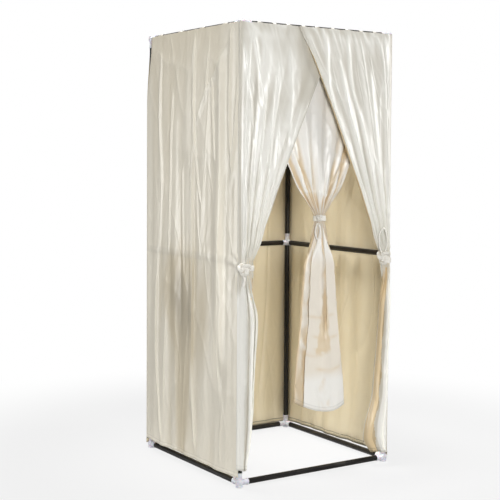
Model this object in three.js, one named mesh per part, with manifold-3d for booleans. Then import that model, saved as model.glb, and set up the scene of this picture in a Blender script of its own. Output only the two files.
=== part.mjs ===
// A portable fitting room: a square frame of tubes that plug into corner connectors, three cloth walls,
// two front flaps tied back to the posts, and a centre curtain tied in its middle.
// Millimetres. +Z is up, the doorway faces -Y, and the origin is on the floor under the middle of the room.

import * as THREE from 'three';
import { mergeVertices } from 'three/addons/utils/BufferGeometryUtils.js';
import Module from 'manifold-3d';

const wasm = await Module();
wasm.setup();

// Driving dimensions of the frame
const postSpacing = 800;
const bottomRailHeight = 20;
const midRailHeight = 978;
const topRailHeight = 1985;

// Tubes
const tubeDiameter = 25;
const tubeWall = 1;
const tubeSides = 12;

// Connectors: reaches run from the crossing of the axes to where a tube's end seats
const cornerReach = 43;
const midSideReach = 31;
const midUpReach = 47;
const midDownReach = 14;
const collarDiameter = 29;
const collarLength = 6;
const hubDiameter = 33;
const spigotLength = 24;
const spigotClearance = 0.35;
const seatGap = 0.3;
const footDiameter = 32;
const footRimHeight = 3;
const footNeckDiameter = 27;
const armSides = 10;
const hubDetail = 1;

// Cloth
const clothThickness = 1.5;
const clothStandOff = 17;
const clothTopRise = 8;
const clothGap = 0.3;

// Walls
const wallHemHeight = 47;
const wallFoldDepth = 7;
const wallFolds = 7;
const rearEdgePull = 34;
const rearEdgePullHeight = 330;

// Loops that carry the cloth on the top rails
const loopClearance = 0.4;
const loopThickness = 1.2;
const loopWidth = 32;
const loopTabHeight = 8;
const loopSides = 10;

// Front flaps, which lap at the top centre and are drawn to the posts
const leftFlapLap = 104;
const leftFlapBow = 12;
const rightFlapLap = 118;
const rightFlapBow = 18;
const rightFlapPull = 11.5;
const flapLapLift = 3.4;
const flapTopFoldDepth = 2;
const flapFolds = 5;

// Bundles, where the ties gather the flaps against the posts
const bundleWidth = 54;
const bundleDepth = 26;
const bundleInset = 7;
const tieTopBelowRail = 16;
const tieHeight = 25;
const tieThickness = 2.4;
const tieClearance = 0.8;
const tieSides = 20;

// Knots on the ties
const knotWidth = 60;
const knotDepth = 20;
const knotHeight = 60;
const knotSeat = 1.4;
const leftKnotOffset = 24;
const leftKnotRise = 0;
const rightKnotOffset = -22;
const rightKnotRise = 12;
const bowOffset = -8;
const bowWidth = 70;
const bowHeight = 132;
const bowStrapWidth = 7;
const bowThickness = 3;
const bowOverlap = 12;

// Tails of the flaps, below the ties
const tailFolds = 4;
const tailDepth = 28;
const tailSwing = THREE.MathUtils.degToRad(25);
const leftTailWidth = 88;
const leftTailHemHeight = 84;
const rightTailWidth = 150;
const rightTailHemHeight = 62;

// Centre curtain behind the front rail, its top edges set in from the posts' axes
const curtainInset = 40;
const curtainOffset = 37;
const curtainFolds = 6;
const curtainTopFoldDepth = 3;
const curtainTieHeight = 1150;
const curtainTieBand = 24;
const curtainBundleWidth = 58;
const curtainBundleDepth = 24;
const curtainKnotWidth = 34;
const curtainKnotDepth = 16;
const curtainKnotHeight = 30;
const curtainKnotOffset = -14;

// Tail of the centre curtain, and the loop that hangs from its tie
const curtainTailWidth = 276;
const curtainTailDrift = 9;
const curtainTailHemHeight = 267;
const curtainTailHemRise = 60;
const curtainTailFolds = 4;
const curtainTailDepth = 30;
const curtainTailSwing = THREE.MathUtils.degToRad(12);
const hangingLoopWidth = 30;
const hangingLoopHeight = 76;
const hangingLoopStrap = 7;
const hangingLoopThickness = 3;
const hangingLoopOffset = -18;
const hangingLoopDrop = 2;

// How the folds lie, as shares of a cloth's width or height
const foldDriftShare = 0.02;
const foldDriftWaves = 1.2;
const wallFadeShare = 0.16;
const flatTopShare = 0.25;
const flapFadeShare = 0.2;
const lapStartShare = 0.25;
const lapEndShare = 0.6;
const gatherPower = 2.4;
const drawnInShare = 0.8;
const tailSpreadShare = 0.25;
const ovalShare = 0.97;

// Outlines as shares: down the cloth, then of its width
const leftTailEdgeShares = [
  [0, 0.69], [0.1, 0.76], [0.2, 0.97], [0.3, 1], [0.4, 0.92], [0.76, 0.71], [1, 0.3],
];
const rightTailEdgeShares = [[0, 0.41], [0.29, 0.45], [0.56, 0.59], [0.71, 0.69], [0.91, 1], [1, 0.65]];
const curtainEdgeShares = [[0, 1], [0.4, 0.76], [0.75, 0.45], [0.86, 0.32], [0.94, 0.17], [1, 0.08]];
const curtainTailEdgeShares = [[0, 0.21], [0.1, 0.42], [0.36, 0.65], [0.57, 0.76], [0.83, 0.94], [1, 1]];

// Rise of the centre curtain's hem as shares: across it from the left, then of its greatest rise
const curtainHemShares = [[0, 1], [0.25, 0.45], [0.62, 0], [0.85, 0.12], [1, 0.45]];

// Places of the loops along each rail, as shares of half the post spacing
const wallLoopShares = [-0.72, -0.24, 0.24, 0.72];
const leftFlapLoopShares = [-0.8, -0.42, -0.04];
const rightFlapLoopShares = [0.38, 0.78];
const curtainLoopShares = [-0.6, -0.22, 0.18, 0.58];

// How finely the cloth and the knots are divided
const wallColumns = 28;
const wallRows = 4;
const flapColumns = 25;
const flapRows = 10;
const tailColumns = 20;
const tailRows = 7;
const curtainColumns = 24;
const curtainRows = 10;
const curtainTailColumns = 20;
const curtainTailRows = 8;
const knotSides = 10;
const knotRings = 7;
const strapSegments = 7;

// Sizes that follow
const half = postSpacing / 2;
const tubeRadius = tubeDiameter / 2;
const boreRadius = tubeRadius - tubeWall;
const spigotRadius = boreRadius * Math.cos(Math.PI / tubeSides) - spigotClearance;
const clothTop = topRailHeight + clothTopRise;
const clothCorner = half + clothStandOff + clothThickness;
const loopInnerRadius = (tubeRadius + loopClearance) / Math.cos(Math.PI / loopSides);
const tieTop = midRailHeight - tieTopBelowRail;
const tieBottom = tieTop - tieHeight;
const bundleOut = clothStandOff + (bundleDepth + clothThickness) / 2;

const finishes = {
  tube: new THREE.MeshStandardMaterial({ name: 'tube', color: 0x262220, roughness: 0.38, metalness: 0.35 }),
  connector: new THREE.MeshStandardMaterial({
    name: 'connector', color: 0xdedce6, roughness: 0.45, metalness: 0,
  }),
  cloth: new THREE.MeshStandardMaterial({ name: 'cloth', color: 0xece4d2, roughness: 0.55, metalness: 0 }),
};

const fittingRoom = new THREE.Group();

// Adds one named piece to the room
function addPiece(name, geometry, finish, place = new THREE.Vector3()) {
  const piece = new THREE.Mesh(geometry, finish);
  piece.name = name;
  piece.position.copy(place);
  fittingRoom.add(piece);
}

// Solids are joined and cut as closed meshes that hold only places
function toSolid(geometry) {
  const plain = geometry.clone();
  plain.deleteAttribute('normal');
  plain.deleteAttribute('uv');
  const merged = mergeVertices(plain);
  return new wasm.Manifold(new wasm.Mesh({
    numProp: 3,
    vertProperties: new Float32Array(merged.getAttribute('position').array),
    triVerts: new Uint32Array(merged.getIndex().array),
  }));
}

function toGeometry(solid) {
  const mesh = solid.getMesh();
  const geometry = new THREE.BufferGeometry();
  geometry.setAttribute('position', new THREE.BufferAttribute(mesh.vertProperties, mesh.numProp));
  geometry.setIndex(new THREE.BufferAttribute(mesh.triVerts, 1));
  geometry.computeVertexNormals();
  return geometry;
}

function joined(geometries) {
  const whole = geometries.map(toSolid).reduce((sum, solid) => sum.add(solid));
  return toGeometry(whole);
}

// A turned piece: the profile's points are a radius and a height, and its axis is turned to a direction
function turned(profile, sides, direction) {
  const points = profile.map(([radius, height]) => new THREE.Vector2(radius, height));
  const geometry = new THREE.LatheGeometry(points, sides);
  const turn = new THREE.Quaternion().setFromUnitVectors(new THREE.Vector3(0, 1, 0), direction);
  return geometry.applyQuaternion(turn);
}

// Value of an outline at a share of its length
function outlineAt(outlineShares, share) {
  const last = outlineShares.length - 1;
  let next = 1;
  while (next < last && outlineShares[next][0] < share) next += 1;
  const [fromShare, fromValue] = outlineShares[next - 1];
  const [toShare, toValue] = outlineShares[next];
  const between = THREE.MathUtils.clamp((share - fromShare) / (toShare - fromShare), 0, 1);
  return THREE.MathUtils.lerp(fromValue, toValue, between);
}

const right = new THREE.Vector3(1, 0, 0);
const back = new THREE.Vector3(0, 1, 0);
const up = new THREE.Vector3(0, 0, 1);
const left = right.clone().negate();
const front = back.clone().negate();
const down = up.clone().negate();

// Frame tubes

function addTube(name, start, direction, length) {
  const profile = [
    [boreRadius, 0], [tubeRadius, 0], [tubeRadius, length], [boreRadius, length], [boreRadius, 0],
  ];
  addPiece(name, turned(profile, tubeSides, direction), finishes.tube, start);
}

function addRails(level, height, reach, sides) {
  const length = postSpacing - 2 * (reach + seatGap);
  for (const side of sides) {
    const runsAlongX = side.outward.x === 0;
    const direction = runsAlongX ? right : back;
    const start = side.outward.clone().multiplyScalar(half).addScaledVector(direction, -length / 2);
    start.z = height;
    addTube(`${level}_rail_${side.name}`, start, direction, length);
  }
}

const sides = {
  front: { name: 'front', outward: front, along: right },
  back: { name: 'back', outward: back, along: right },
  left: { name: 'left', outward: left, along: back },
  right: { name: 'right', outward: right, along: back },
};
addRails('bottom', bottomRailHeight, cornerReach, [sides.front, sides.back, sides.left, sides.right]);
addRails('mid', midRailHeight, midSideReach, [sides.back, sides.left, sides.right]);
addRails('top', topRailHeight, cornerReach, [sides.front, sides.back, sides.left, sides.right]);

// Connectors

const armRadius = tubeRadius;
const collarRadius = collarDiameter / 2;

// An arm ends in a collar, where the tube seats, and a spigot that plugs into its bore
function armProfile(reach) {
  return [
    [0, 0],
    [armRadius, 0],
    [armRadius, reach - collarLength],
    [collarRadius, reach - collarLength],
    [collarRadius, reach],
    [spigotRadius, reach],
    [spigotRadius, reach + spigotLength],
    [0, reach + spigotLength],
  ];
}

function sleeveProfile(downReach, upReach) {
  const upper = armProfile(upReach).slice(2);
  const lower = armProfile(downReach).slice(2).map(([radius, height]) => [radius, -height]);
  return [...lower.reverse(), ...upper];
}

function cornerConnector(directions, hasFoot) {
  const parts = directions.map((direction) => turned(armProfile(cornerReach), armSides, direction));
  parts.push(new THREE.IcosahedronGeometry(hubDiameter / 2, hubDetail));
  if (hasFoot) {
    const footProfile = [
      [0, -bottomRailHeight],
      [footDiameter / 2, -bottomRailHeight],
      [footDiameter / 2, footRimHeight - bottomRailHeight],
      [footNeckDiameter / 2, 0],
      [0, 0],
    ];
    parts.push(turned(footProfile, armSides, up));
  }
  return joined(parts);
}

function midConnector(directions) {
  const arms = directions.map((direction) => turned(armProfile(midSideReach), armSides, direction));
  return joined([turned(sleeveProfile(midDownReach, midUpReach), armSides, up), ...arms]);
}

for (const [endName, endSign] of [['front', -1], ['back', 1]]) {
  for (const [sideName, sideSign] of [['left', -1], ['right', 1]]) {
    const corner = `${endName}_${sideName}`;
    const alongX = sideSign < 0 ? right : left;
    const alongY = endSign < 0 ? back : front;
    const post = new THREE.Vector3(sideSign * half, endSign * half, 0);
    const at = (height) => post.clone().setZ(height);
    const bottomConnector = cornerConnector([alongX, alongY, up], true);
    const topConnector = cornerConnector([alongX, alongY, down], false);
    const crossing = midConnector(endSign < 0 ? [alongY] : [alongX, alongY]);
    addPiece(`bottom_connector_${corner}`, bottomConnector, finishes.connector, at(bottomRailHeight));
    addPiece(`mid_connector_${corner}`, crossing, finishes.connector, at(midRailHeight));
    addPiece(`top_connector_${corner}`, topConnector, finishes.connector, at(topRailHeight));

    const lowerStart = bottomRailHeight + cornerReach + seatGap;
    const lowerEnd = midRailHeight - midDownReach - seatGap;
    const upperStart = midRailHeight + midUpReach + seatGap;
    const upperEnd = topRailHeight - cornerReach - seatGap;
    addTube(`lower_post_${corner}`, at(lowerStart), up, lowerEnd - lowerStart);
    addTube(`upper_post_${corner}`, at(upperStart), up, upperEnd - upperStart);
  }
}

// Cloth

// A place beside one side of the frame: along it, out from the posts' axes, and its height
function placeBeside(side, along, out, height) {
  const place = side.outward.clone().multiplyScalar(half + out).addScaledVector(side.along, along);
  place.z = height;
  return place;
}

// A closed sheet of cloth. placeAt gives a point of its inner face from two shares, across and down,
// and its outer face lies one thickness further out. The faces are turned outwards by the sheet's volume.
function clothSheet(columns, rows, outward, placeAt) {
  const places = [];
  for (const offset of [0, clothThickness]) {
    for (let row = 0; row <= rows; row += 1) {
      for (let column = 0; column <= columns; column += 1) {
        places.push(placeAt(column / columns, row / rows).addScaledVector(outward, offset));
      }
    }
  }
  const rowLength = columns + 1;
  const layerLength = rowLength * (rows + 1);
  const corners = [];
  const addQuad = (a, b, c, d) => corners.push(a, b, c, a, c, d);
  for (let row = 0; row < rows; row += 1) {
    for (let column = 0; column < columns; column += 1) {
      const inner = row * rowLength + column;
      const outer = inner + layerLength;
      addQuad(inner, inner + 1, inner + 1 + rowLength, inner + rowLength);
      addQuad(outer, outer + rowLength, outer + 1 + rowLength, outer + 1);
    }
  }
  for (let row = 0; row < rows; row += 1) {
    const start = row * rowLength;
    const end = start + columns;
    addQuad(start, start + rowLength, start + rowLength + layerLength, start + layerLength);
    addQuad(end, end + layerLength, end + layerLength + rowLength, end + rowLength);
  }
  for (let column = 0; column < columns; column += 1) {
    const top = column;
    const hem = rows * rowLength + column;
    addQuad(top, top + layerLength, top + 1 + layerLength, top + 1);
    addQuad(hem, hem + 1, hem + 1 + layerLength, hem + layerLength);
  }
  let volume = 0;
  for (let i = 0; i < corners.length; i += 3) {
    const [a, b, c] = [places[corners[i]], places[corners[i + 1]], places[corners[i + 2]]];
    volume += a.dot(b.clone().cross(c));
  }
  if (volume < 0) corners.reverse();
  const geometry = new THREE.BufferGeometry().setFromPoints(places);
  geometry.setIndex(corners);
  geometry.computeVertexNormals();
  return geometry;
}

// The wave of the folds across a cloth, from -1 to 1. It drifts, so that no two folds are alike.
function foldWave(folds, share) {
  const drift = foldDriftShare * Math.sin(2 * Math.PI * foldDriftWaves * share + folds);
  return Math.cos(2 * Math.PI * folds * (share + drift));
}

// Folds open over the first part of a cloth's height
function openedAt(below) {
  return Math.min(1, below / flatTopShare);
}

// Fades to nothing at both ends of a share
function edgeFade(share, fadeShare) {
  const ends = Math.min(share, 1 - share) / fadeShare;
  return THREE.MathUtils.smoothstep(ends, 0, 1);
}

// A loop round the top rail, with the tab that is sewn to the cloth at a distance out from the rail's axis
function railLoop(side, along, sewnOut) {
  const outerRadius = loopInnerRadius + loopThickness;
  const profile = [
    [loopInnerRadius, -loopWidth / 2],
    [outerRadius, -loopWidth / 2],
    [outerRadius, loopWidth / 2],
    [loopInnerRadius, loopWidth / 2],
    [loopInnerRadius, -loopWidth / 2],
  ];
  const band = turned(profile, loopSides, side.along);
  const tabStart = Math.sign(sewnOut) * (loopInnerRadius + loopThickness / 4);
  const tabLength = Math.abs(sewnOut - tabStart);
  const sizes = side.along.clone().multiplyScalar(loopWidth)
    .addScaledVector(side.outward.clone().multiply(side.outward), tabLength);
  const tab = new THREE.BoxGeometry(sizes.x, sizes.y, loopTabHeight);
  const tabMiddle = side.outward.clone().multiplyScalar((tabStart + sewnOut) / 2);
  const place = placeBeside(side, along, 0, topRailHeight);
  band.translate(place.x, place.y, place.z);
  tab.translate(tabMiddle.x + place.x, tabMiddle.y + place.y, place.z);
  return [band, tab];
}

function sewnLoops(side, loopShares, sewnOutAt) {
  return loopShares.flatMap((share) => railLoop(side, share * half, sewnOutAt(share * half)));
}

// Walls: flat at the top, with folds that open downwards and die out at the corners
const sewnToWall = clothStandOff + clothThickness / 2;

function addWall(side, startAlong, endAlong, pull) {
  const panel = clothSheet(wallColumns, wallRows, side.outward, (across, below) => {
    const height = THREE.MathUtils.lerp(clothTop, wallHemHeight, below);
    const pulled = pull * (1 - THREE.MathUtils.smoothstep(clothTop - height, 0, rearEdgePullHeight));
    const along = THREE.MathUtils.lerp(startAlong, endAlong - pulled, across);
    const opened = openedAt(below) * edgeFade(across, wallFadeShare);
    const depth = wallFoldDepth * opened * (1 - foldWave(wallFolds, across)) / 2;
    return placeBeside(side, along, clothStandOff + depth, height);
  });
  const loops = sewnLoops(side, wallLoopShares, () => sewnToWall);
  addPiece(`${side.name}_wall`, joined([panel, ...loops]), finishes.cloth);
}

const sideWallEnd = half + clothStandOff - clothGap;
addWall(sides.left, -sideWallEnd, sideWallEnd, rearEdgePull);
addWall(sides.right, -half, sideWallEnd, 0);
addWall(sides.back, -clothCorner, clothCorner, 0);

// Across a gathered bundle the folds keep within an oval
function bundleOval(across) {
  const fromMiddle = ovalShare * (2 * across - 1);
  return Math.sqrt(1 - fromMiddle * fromMiddle);
}

// Flaps. Each lies between its post's corner and its free edge, and its sign is -1 on the left.
const leftFlap = { sign: -1, corner: clothCorner, lap: leftFlapLap, bow: leftFlapBow, lift: 0 };
const rightFlap = {
  sign: 1, corner: clothCorner - rightFlapPull, lap: rightFlapLap, bow: rightFlapBow, lift: flapLapLift,
};
for (const flap of [leftFlap, rightFlap]) {
  flap.bundlePost = flap.corner - bundleInset;
  flap.bundleMiddle = flap.bundlePost - bundleWidth / 2;
  flap.bundleFree = flap.bundlePost - bundleWidth;
}

const aboveTieShare = (flapRows - 1) / flapRows;

function addFlap(name, { sign, corner, lap, bow, lift, bundlePost, bundleFree }, loopShares) {
  const lapAt = (across) => lift * THREE.MathUtils.smoothstep(across, lapStartShare, lapEndShare);
  const sewnOutAt = (along) => sewnToWall + lapAt((corner - sign * along) / (corner + lap));
  const panel = clothSheet(flapColumns, flapRows, front, (across, below) => {
    const drawn = Math.min(1, below / aboveTieShare);
    const throughTie = Math.max(0, (below - aboveTieShare) / (1 - aboveTieShare));
    const height = THREE.MathUtils.lerp(THREE.MathUtils.lerp(clothTop, tieTop, drawn), tieBottom, throughTie);
    const drawnIn = THREE.MathUtils.smoothstep(drawn, drawnInShare, 1);
    const postEdge = THREE.MathUtils.lerp(corner, bundlePost, drawnIn);
    const freeEdge = THREE.MathUtils.lerp(-lap, bundleFree, drawn) + 4 * bow * drawn * (1 - drawn);
    const fromCentre = THREE.MathUtils.lerp(postEdge, freeEdge, across);
    const gathered = drawn ** gatherPower;
    const depth = THREE.MathUtils.lerp(flapTopFoldDepth * openedAt(drawn), bundleDepth, gathered);
    const swell = THREE.MathUtils.lerp(edgeFade(across, flapFadeShare), bundleOval(across), gathered);
    const wave = 1 - swell * foldWave(flapFolds, across);
    const out = clothStandOff + lapAt(across) * (1 - gathered) + depth * wave / 2;
    return placeBeside(sides.front, sign * fromCentre, out, height);
  });
  addPiece(name, joined([panel, ...sewnLoops(sides.front, loopShares, sewnOutAt)]), finishes.cloth);
}

addFlap('left_flap', leftFlap, leftFlapLoopShares);
addFlap('right_flap', rightFlap, rightFlapLoopShares);

// Ties: a belt round ovals that lie side by side, each with its middle and its two half widths

function beltOutline(ovals, grown) {
  const points = [];
  for (let i = 0; i < tieSides; i += 1) {
    const angle = (2 * Math.PI * i) / tieSides;
    const direction = new THREE.Vector2(Math.cos(angle), Math.sin(angle));
    const reachOf = ({ middle, radii }) => {
      const grownRadii = new THREE.Vector2(radii.x + grown, radii.y + grown);
      const support = grownRadii.clone().multiply(direction).length();
      return { support: support + middle.dot(direction), middle, grownRadii, length: support };
    };
    const furthest = ovals.map(reachOf).reduce((best, one) => (one.support > best.support ? one : best));
    const { middle, grownRadii, length } = furthest;
    const point = grownRadii.clone().multiply(grownRadii).multiply(direction).divideScalar(length);
    points.push(point.add(middle));
  }
  return points;
}

function belt(ovals, height) {
  const outline = new THREE.Shape(beltOutline(ovals, tieClearance + tieThickness));
  outline.holes.push(new THREE.Path(beltOutline(ovals, tieClearance)));
  return new THREE.ExtrudeGeometry(outline, { depth: height, bevelEnabled: false });
}

// A knot that sits on the front of a belt round an oval, at a distance to the side of the oval's middle.
// It is turned to lie along the belt, and its middle is returned with it.
function knotOnBelt({ middle, radii }, aside, width, depth, height) {
  const grown = tieClearance + tieThickness;
  const beltRadii = new THREE.Vector2(radii.x + grown, radii.y + grown);
  const roundness = Math.sqrt(1 - (aside / beltRadii.x) ** 2);
  const facing = new THREE.Vector2(aside / beltRadii.x ** 2, -roundness / beltRadii.y).normalize();
  const place = new THREE.Vector2(aside, -roundness * beltRadii.y).add(middle);
  place.addScaledVector(facing, depth / 2 - knotSeat);
  const shape = new THREE.SphereGeometry(1, knotSides, knotRings).rotateX(Math.PI / 2);
  shape.scale(width / 2, depth / 2, height / 2).rotateZ(Math.atan2(facing.x, -facing.y));
  return { place, shape };
}

// A flat strap bent into an upright loop, seen from the front
function strapLoop(width, height, strapWidth, thickness) {
  const outline = new THREE.Shape().absellipse(0, 0, width / 2, height / 2, 0, 2 * Math.PI);
  const hole = new THREE.Path();
  hole.absellipse(0, 0, width / 2 - strapWidth, height / 2 - strapWidth, 0, 2 * Math.PI);
  outline.holes.push(hole);
  const loop = new THREE.ExtrudeGeometry(outline, {
    depth: thickness, curveSegments: strapSegments, bevelEnabled: false,
  });
  return loop.translate(0, 0, -thickness / 2).rotateX(Math.PI / 2);
}

const postOval = {
  middle: new THREE.Vector2(0, 0),
  radii: new THREE.Vector2(tubeRadius, tubeRadius),
};

// Round a front post and the bundle before it, with the knot in front
function addPostTie(name, { sign, bundleMiddle }, knotOffset, knotRise, hasBow) {
  const bundleRound = {
    middle: new THREE.Vector2(sign * (bundleMiddle - half), -bundleOut),
    radii: new THREE.Vector2(bundleWidth / 2 + clothThickness, (bundleDepth + clothThickness) / 2),
  };
  const { place, shape } = knotOnBelt(bundleRound, sign * knotOffset, knotWidth, knotDepth, knotHeight);
  const knotMiddle = tieHeight / 2 + knotRise;
  const parts = [
    belt([postOval, bundleRound], tieHeight),
    shape.translate(place.x, place.y, knotMiddle),
  ];
  if (hasBow) {
    const bowMiddle = knotMiddle + (knotHeight + bowHeight) / 2 - bowOverlap;
    const bow = strapLoop(bowWidth, bowHeight, bowStrapWidth, bowThickness);
    parts.push(bow.translate(place.x + bowOffset, place.y, bowMiddle));
  }
  addPiece(name, joined(parts), finishes.cloth, new THREE.Vector3(sign * half, -half, tieBottom));
}

addPostTie('left_tie', leftFlap, leftKnotOffset, leftKnotRise, false);
addPostTie('right_tie', rightFlap, rightKnotOffset, rightKnotRise, true);

// Tails swing on a line through the middle of their bundle, so their tops fall away in front of that line

function topDrop(inFront, swing) {
  return clothGap + Math.max(0, inFront) * Math.tan(swing);
}

function addTail(name, { sign, corner, bundlePost }, width, hemHeight, edgeShares) {
  addPiece(name, clothSheet(tailColumns, tailRows, front, (across, below) => {
    const spread = THREE.MathUtils.smoothstep(below, 0, tailSpreadShare);
    const postEdge = THREE.MathUtils.lerp(bundlePost, corner, spread);
    const freeEdge = corner - width * outlineAt(edgeShares, below);
    const fromCentre = THREE.MathUtils.lerp(postEdge, freeEdge, across);
    const depth = THREE.MathUtils.lerp(bundleDepth, tailDepth, below);
    const swell = THREE.MathUtils.lerp(bundleOval(across), 1, spread);
    const out = clothStandOff + depth * (1 - swell * foldWave(tailFolds, across)) / 2;
    const drop = topDrop(out + clothThickness - bundleOut, tailSwing);
    const height = THREE.MathUtils.lerp(tieBottom - drop, hemHeight, below);
    return placeBeside(sides.front, sign * fromCentre, out, height);
  }), finishes.cloth);
}

addTail('left_tail', leftFlap, leftTailWidth, leftTailHemHeight, leftTailEdgeShares);
addTail('right_tail', rightFlap, rightTailWidth, rightTailHemHeight, rightTailEdgeShares);

// Centre curtain: it hangs behind the front rail, and its folds stand inwards

const curtainOut = -clothStandOff;
const curtainTieTop = curtainTieHeight + curtainTieBand / 2;
const curtainTieBottom = curtainTieHeight - curtainTieBand / 2;
const curtainBundleOut = curtainOut + (clothThickness - curtainBundleDepth) / 2;
const sewnToCurtain = curtainOut + clothThickness / 2;
const curtainAboveTieShare = (curtainRows - 1) / curtainRows;

const curtain = clothSheet(curtainColumns, curtainRows, front, (across, below) => {
  const drawn = Math.min(1, below / curtainAboveTieShare);
  const throughTie = Math.max(0, (below - curtainAboveTieShare) / (1 - curtainAboveTieShare));
  const falling = THREE.MathUtils.lerp(clothTop, curtainTieTop, drawn);
  const height = THREE.MathUtils.lerp(falling, curtainTieBottom, throughTie);
  const opened = (half - curtainInset) * outlineAt(curtainEdgeShares, drawn);
  const halfWidth = Math.max(opened, curtainBundleWidth / 2);
  const along = curtainOffset * drawn + halfWidth * (2 * across - 1);
  const gathered = drawn ** gatherPower;
  const depth = THREE.MathUtils.lerp(curtainTopFoldDepth * openedAt(drawn), curtainBundleDepth, gathered);
  const swell = THREE.MathUtils.lerp(1, bundleOval(across), gathered);
  const wave = 1 - swell * foldWave(curtainFolds, across);
  return placeBeside(sides.front, along, curtainOut - depth * wave / 2, height);
});
addPiece(
  'inner_curtain',
  joined([curtain, ...sewnLoops(sides.front, curtainLoopShares, () => sewnToCurtain)]),
  finishes.cloth,
);

const curtainBundleOval = {
  middle: new THREE.Vector2(0, 0),
  radii: new THREE.Vector2(
    curtainBundleWidth / 2 + clothThickness,
    (curtainBundleDepth + clothThickness) / 2,
  ),
};
const curtainKnot = knotOnBelt(
  curtainBundleOval, curtainKnotOffset, curtainKnotWidth, curtainKnotDepth, curtainKnotHeight,
);
addPiece(
  'inner_tie',
  joined([
    belt([curtainBundleOval], curtainTieBand),
    curtainKnot.shape.translate(curtainKnot.place.x, curtainKnot.place.y, curtainKnotHeight / 2),
  ]),
  finishes.cloth,
  new THREE.Vector3(curtainOffset, -half - curtainBundleOut, curtainTieBottom),
);

function curtainTailAt(across, below) {
  const halfWidth = curtainTailWidth / 2 * outlineAt(curtainTailEdgeShares, below);
  const along = curtainOffset + curtainTailDrift * below + halfWidth * (2 * across - 1);
  const spread = THREE.MathUtils.smoothstep(below, 0, tailSpreadShare);
  const depth = THREE.MathUtils.lerp(curtainBundleDepth, curtainTailDepth, below);
  const swell = THREE.MathUtils.lerp(bundleOval(across), 1, spread);
  const wave = swell * foldWave(curtainTailFolds, across);
  const out = curtainBundleOut - clothThickness / 2 - depth * wave / 2;
  const fromHinge = Math.abs(out + clothThickness / 2 - curtainBundleOut) + clothThickness / 2;
  const drop = topDrop(fromHinge, curtainTailSwing);
  const hemHeight = curtainTailHemHeight + curtainTailHemRise * outlineAt(curtainHemShares, across);
  const height = THREE.MathUtils.lerp(curtainTieBottom - drop, hemHeight, below);
  return { along, out, height };
}

addPiece('inner_tail', clothSheet(curtainTailColumns, curtainTailRows, front, (across, below) => {
  const { along, out, height } = curtainTailAt(across, below);
  return placeBeside(sides.front, along, out, height);
}), finishes.cloth);

// The hanging loop moves with the tail and lies on the foremost fold behind it, in the sheet's second row
const loopMiddle = curtainOffset + hangingLoopOffset;
let loopBack = -Infinity;
for (let column = 0; column <= curtainTailColumns; column += 1) {
  const { along, out } = curtainTailAt(column / curtainTailColumns, 1 / curtainTailRows);
  if (Math.abs(along - loopMiddle) < hangingLoopWidth / 2) {
    loopBack = Math.max(loopBack, out + clothThickness + clothGap);
  }
}
const hangingLoopTop = curtainTieBottom - hangingLoopDrop
  - (loopBack + hangingLoopThickness - curtainBundleOut) * Math.tan(curtainTailSwing);
addPiece(
  'inner_tie_loop',
  strapLoop(hangingLoopWidth, hangingLoopHeight, hangingLoopStrap, hangingLoopThickness),
  finishes.cloth,
  placeBeside(
    sides.front,
    loopMiddle,
    loopBack + hangingLoopThickness / 2,
    hangingLoopTop - hangingLoopHeight / 2,
  ),
);

// The origin lies under the middle of the whole room, knots and folds included
const roomMiddle = new THREE.Box3().setFromObject(fittingRoom).getCenter(new THREE.Vector3());
fittingRoom.position.set(-roomMiddle.x, -roomMiddle.y, 0);

export default fittingRoom;
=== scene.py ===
# Looks of the portable fitting room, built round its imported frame. Metres throughout.
# Shapes are worked out about the middle of the four posts and moved into the model's frame as meshes.
import math

import bmesh
import bpy
import numpy as np
from mathutils import Matrix, Vector


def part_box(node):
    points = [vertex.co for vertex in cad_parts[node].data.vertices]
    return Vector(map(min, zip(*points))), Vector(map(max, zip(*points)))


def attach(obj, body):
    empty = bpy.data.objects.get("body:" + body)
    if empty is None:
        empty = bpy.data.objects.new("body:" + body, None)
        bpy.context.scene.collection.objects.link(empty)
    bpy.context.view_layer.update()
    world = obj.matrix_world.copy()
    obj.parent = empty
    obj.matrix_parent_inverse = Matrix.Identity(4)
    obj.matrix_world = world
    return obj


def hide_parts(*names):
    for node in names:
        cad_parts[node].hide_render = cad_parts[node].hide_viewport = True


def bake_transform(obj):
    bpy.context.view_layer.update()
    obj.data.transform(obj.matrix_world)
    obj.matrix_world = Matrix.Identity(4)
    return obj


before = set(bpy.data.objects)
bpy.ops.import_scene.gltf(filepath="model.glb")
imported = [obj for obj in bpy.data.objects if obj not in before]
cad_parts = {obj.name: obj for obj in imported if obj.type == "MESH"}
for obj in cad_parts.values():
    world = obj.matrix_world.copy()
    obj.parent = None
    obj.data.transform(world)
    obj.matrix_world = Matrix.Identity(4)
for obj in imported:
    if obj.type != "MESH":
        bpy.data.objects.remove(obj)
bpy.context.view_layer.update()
scene = bpy.context.scene
corners = ["front_left", "front_right", "back_left", "back_right"]
xAxis, yAxis, zAxis = np.eye(3)


def middleOf(node):
    low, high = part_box(node)
    return np.array((low + high) / 2)


postMiddles = [middleOf(f"lower_post_{corner}") for corner in corners]
roomMiddle = np.mean(postMiddles, 0) * (1, 1, 0)
half = (postMiddles[1][0] - postMiddles[0][0]) / 2
railHeights = {level: middleOf(f"{level}_rail_left")[2] for level in ("bottom", "mid", "top")}
postLow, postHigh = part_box("lower_post_front_left")
tubeRadius = (postHigh.x - postLow.x) / 2
print("frame loaded:", len(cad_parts), "nodes")


# Camera

viewpoint = {
    "place": (-2.956, -4.408, 1.405),
    "yaw": 33.767,
    "pitch": -3.026,
    "roll": 0.411,
    "lens": 80.55,
    "shift": (-0.03, -0.06),
}


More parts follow.
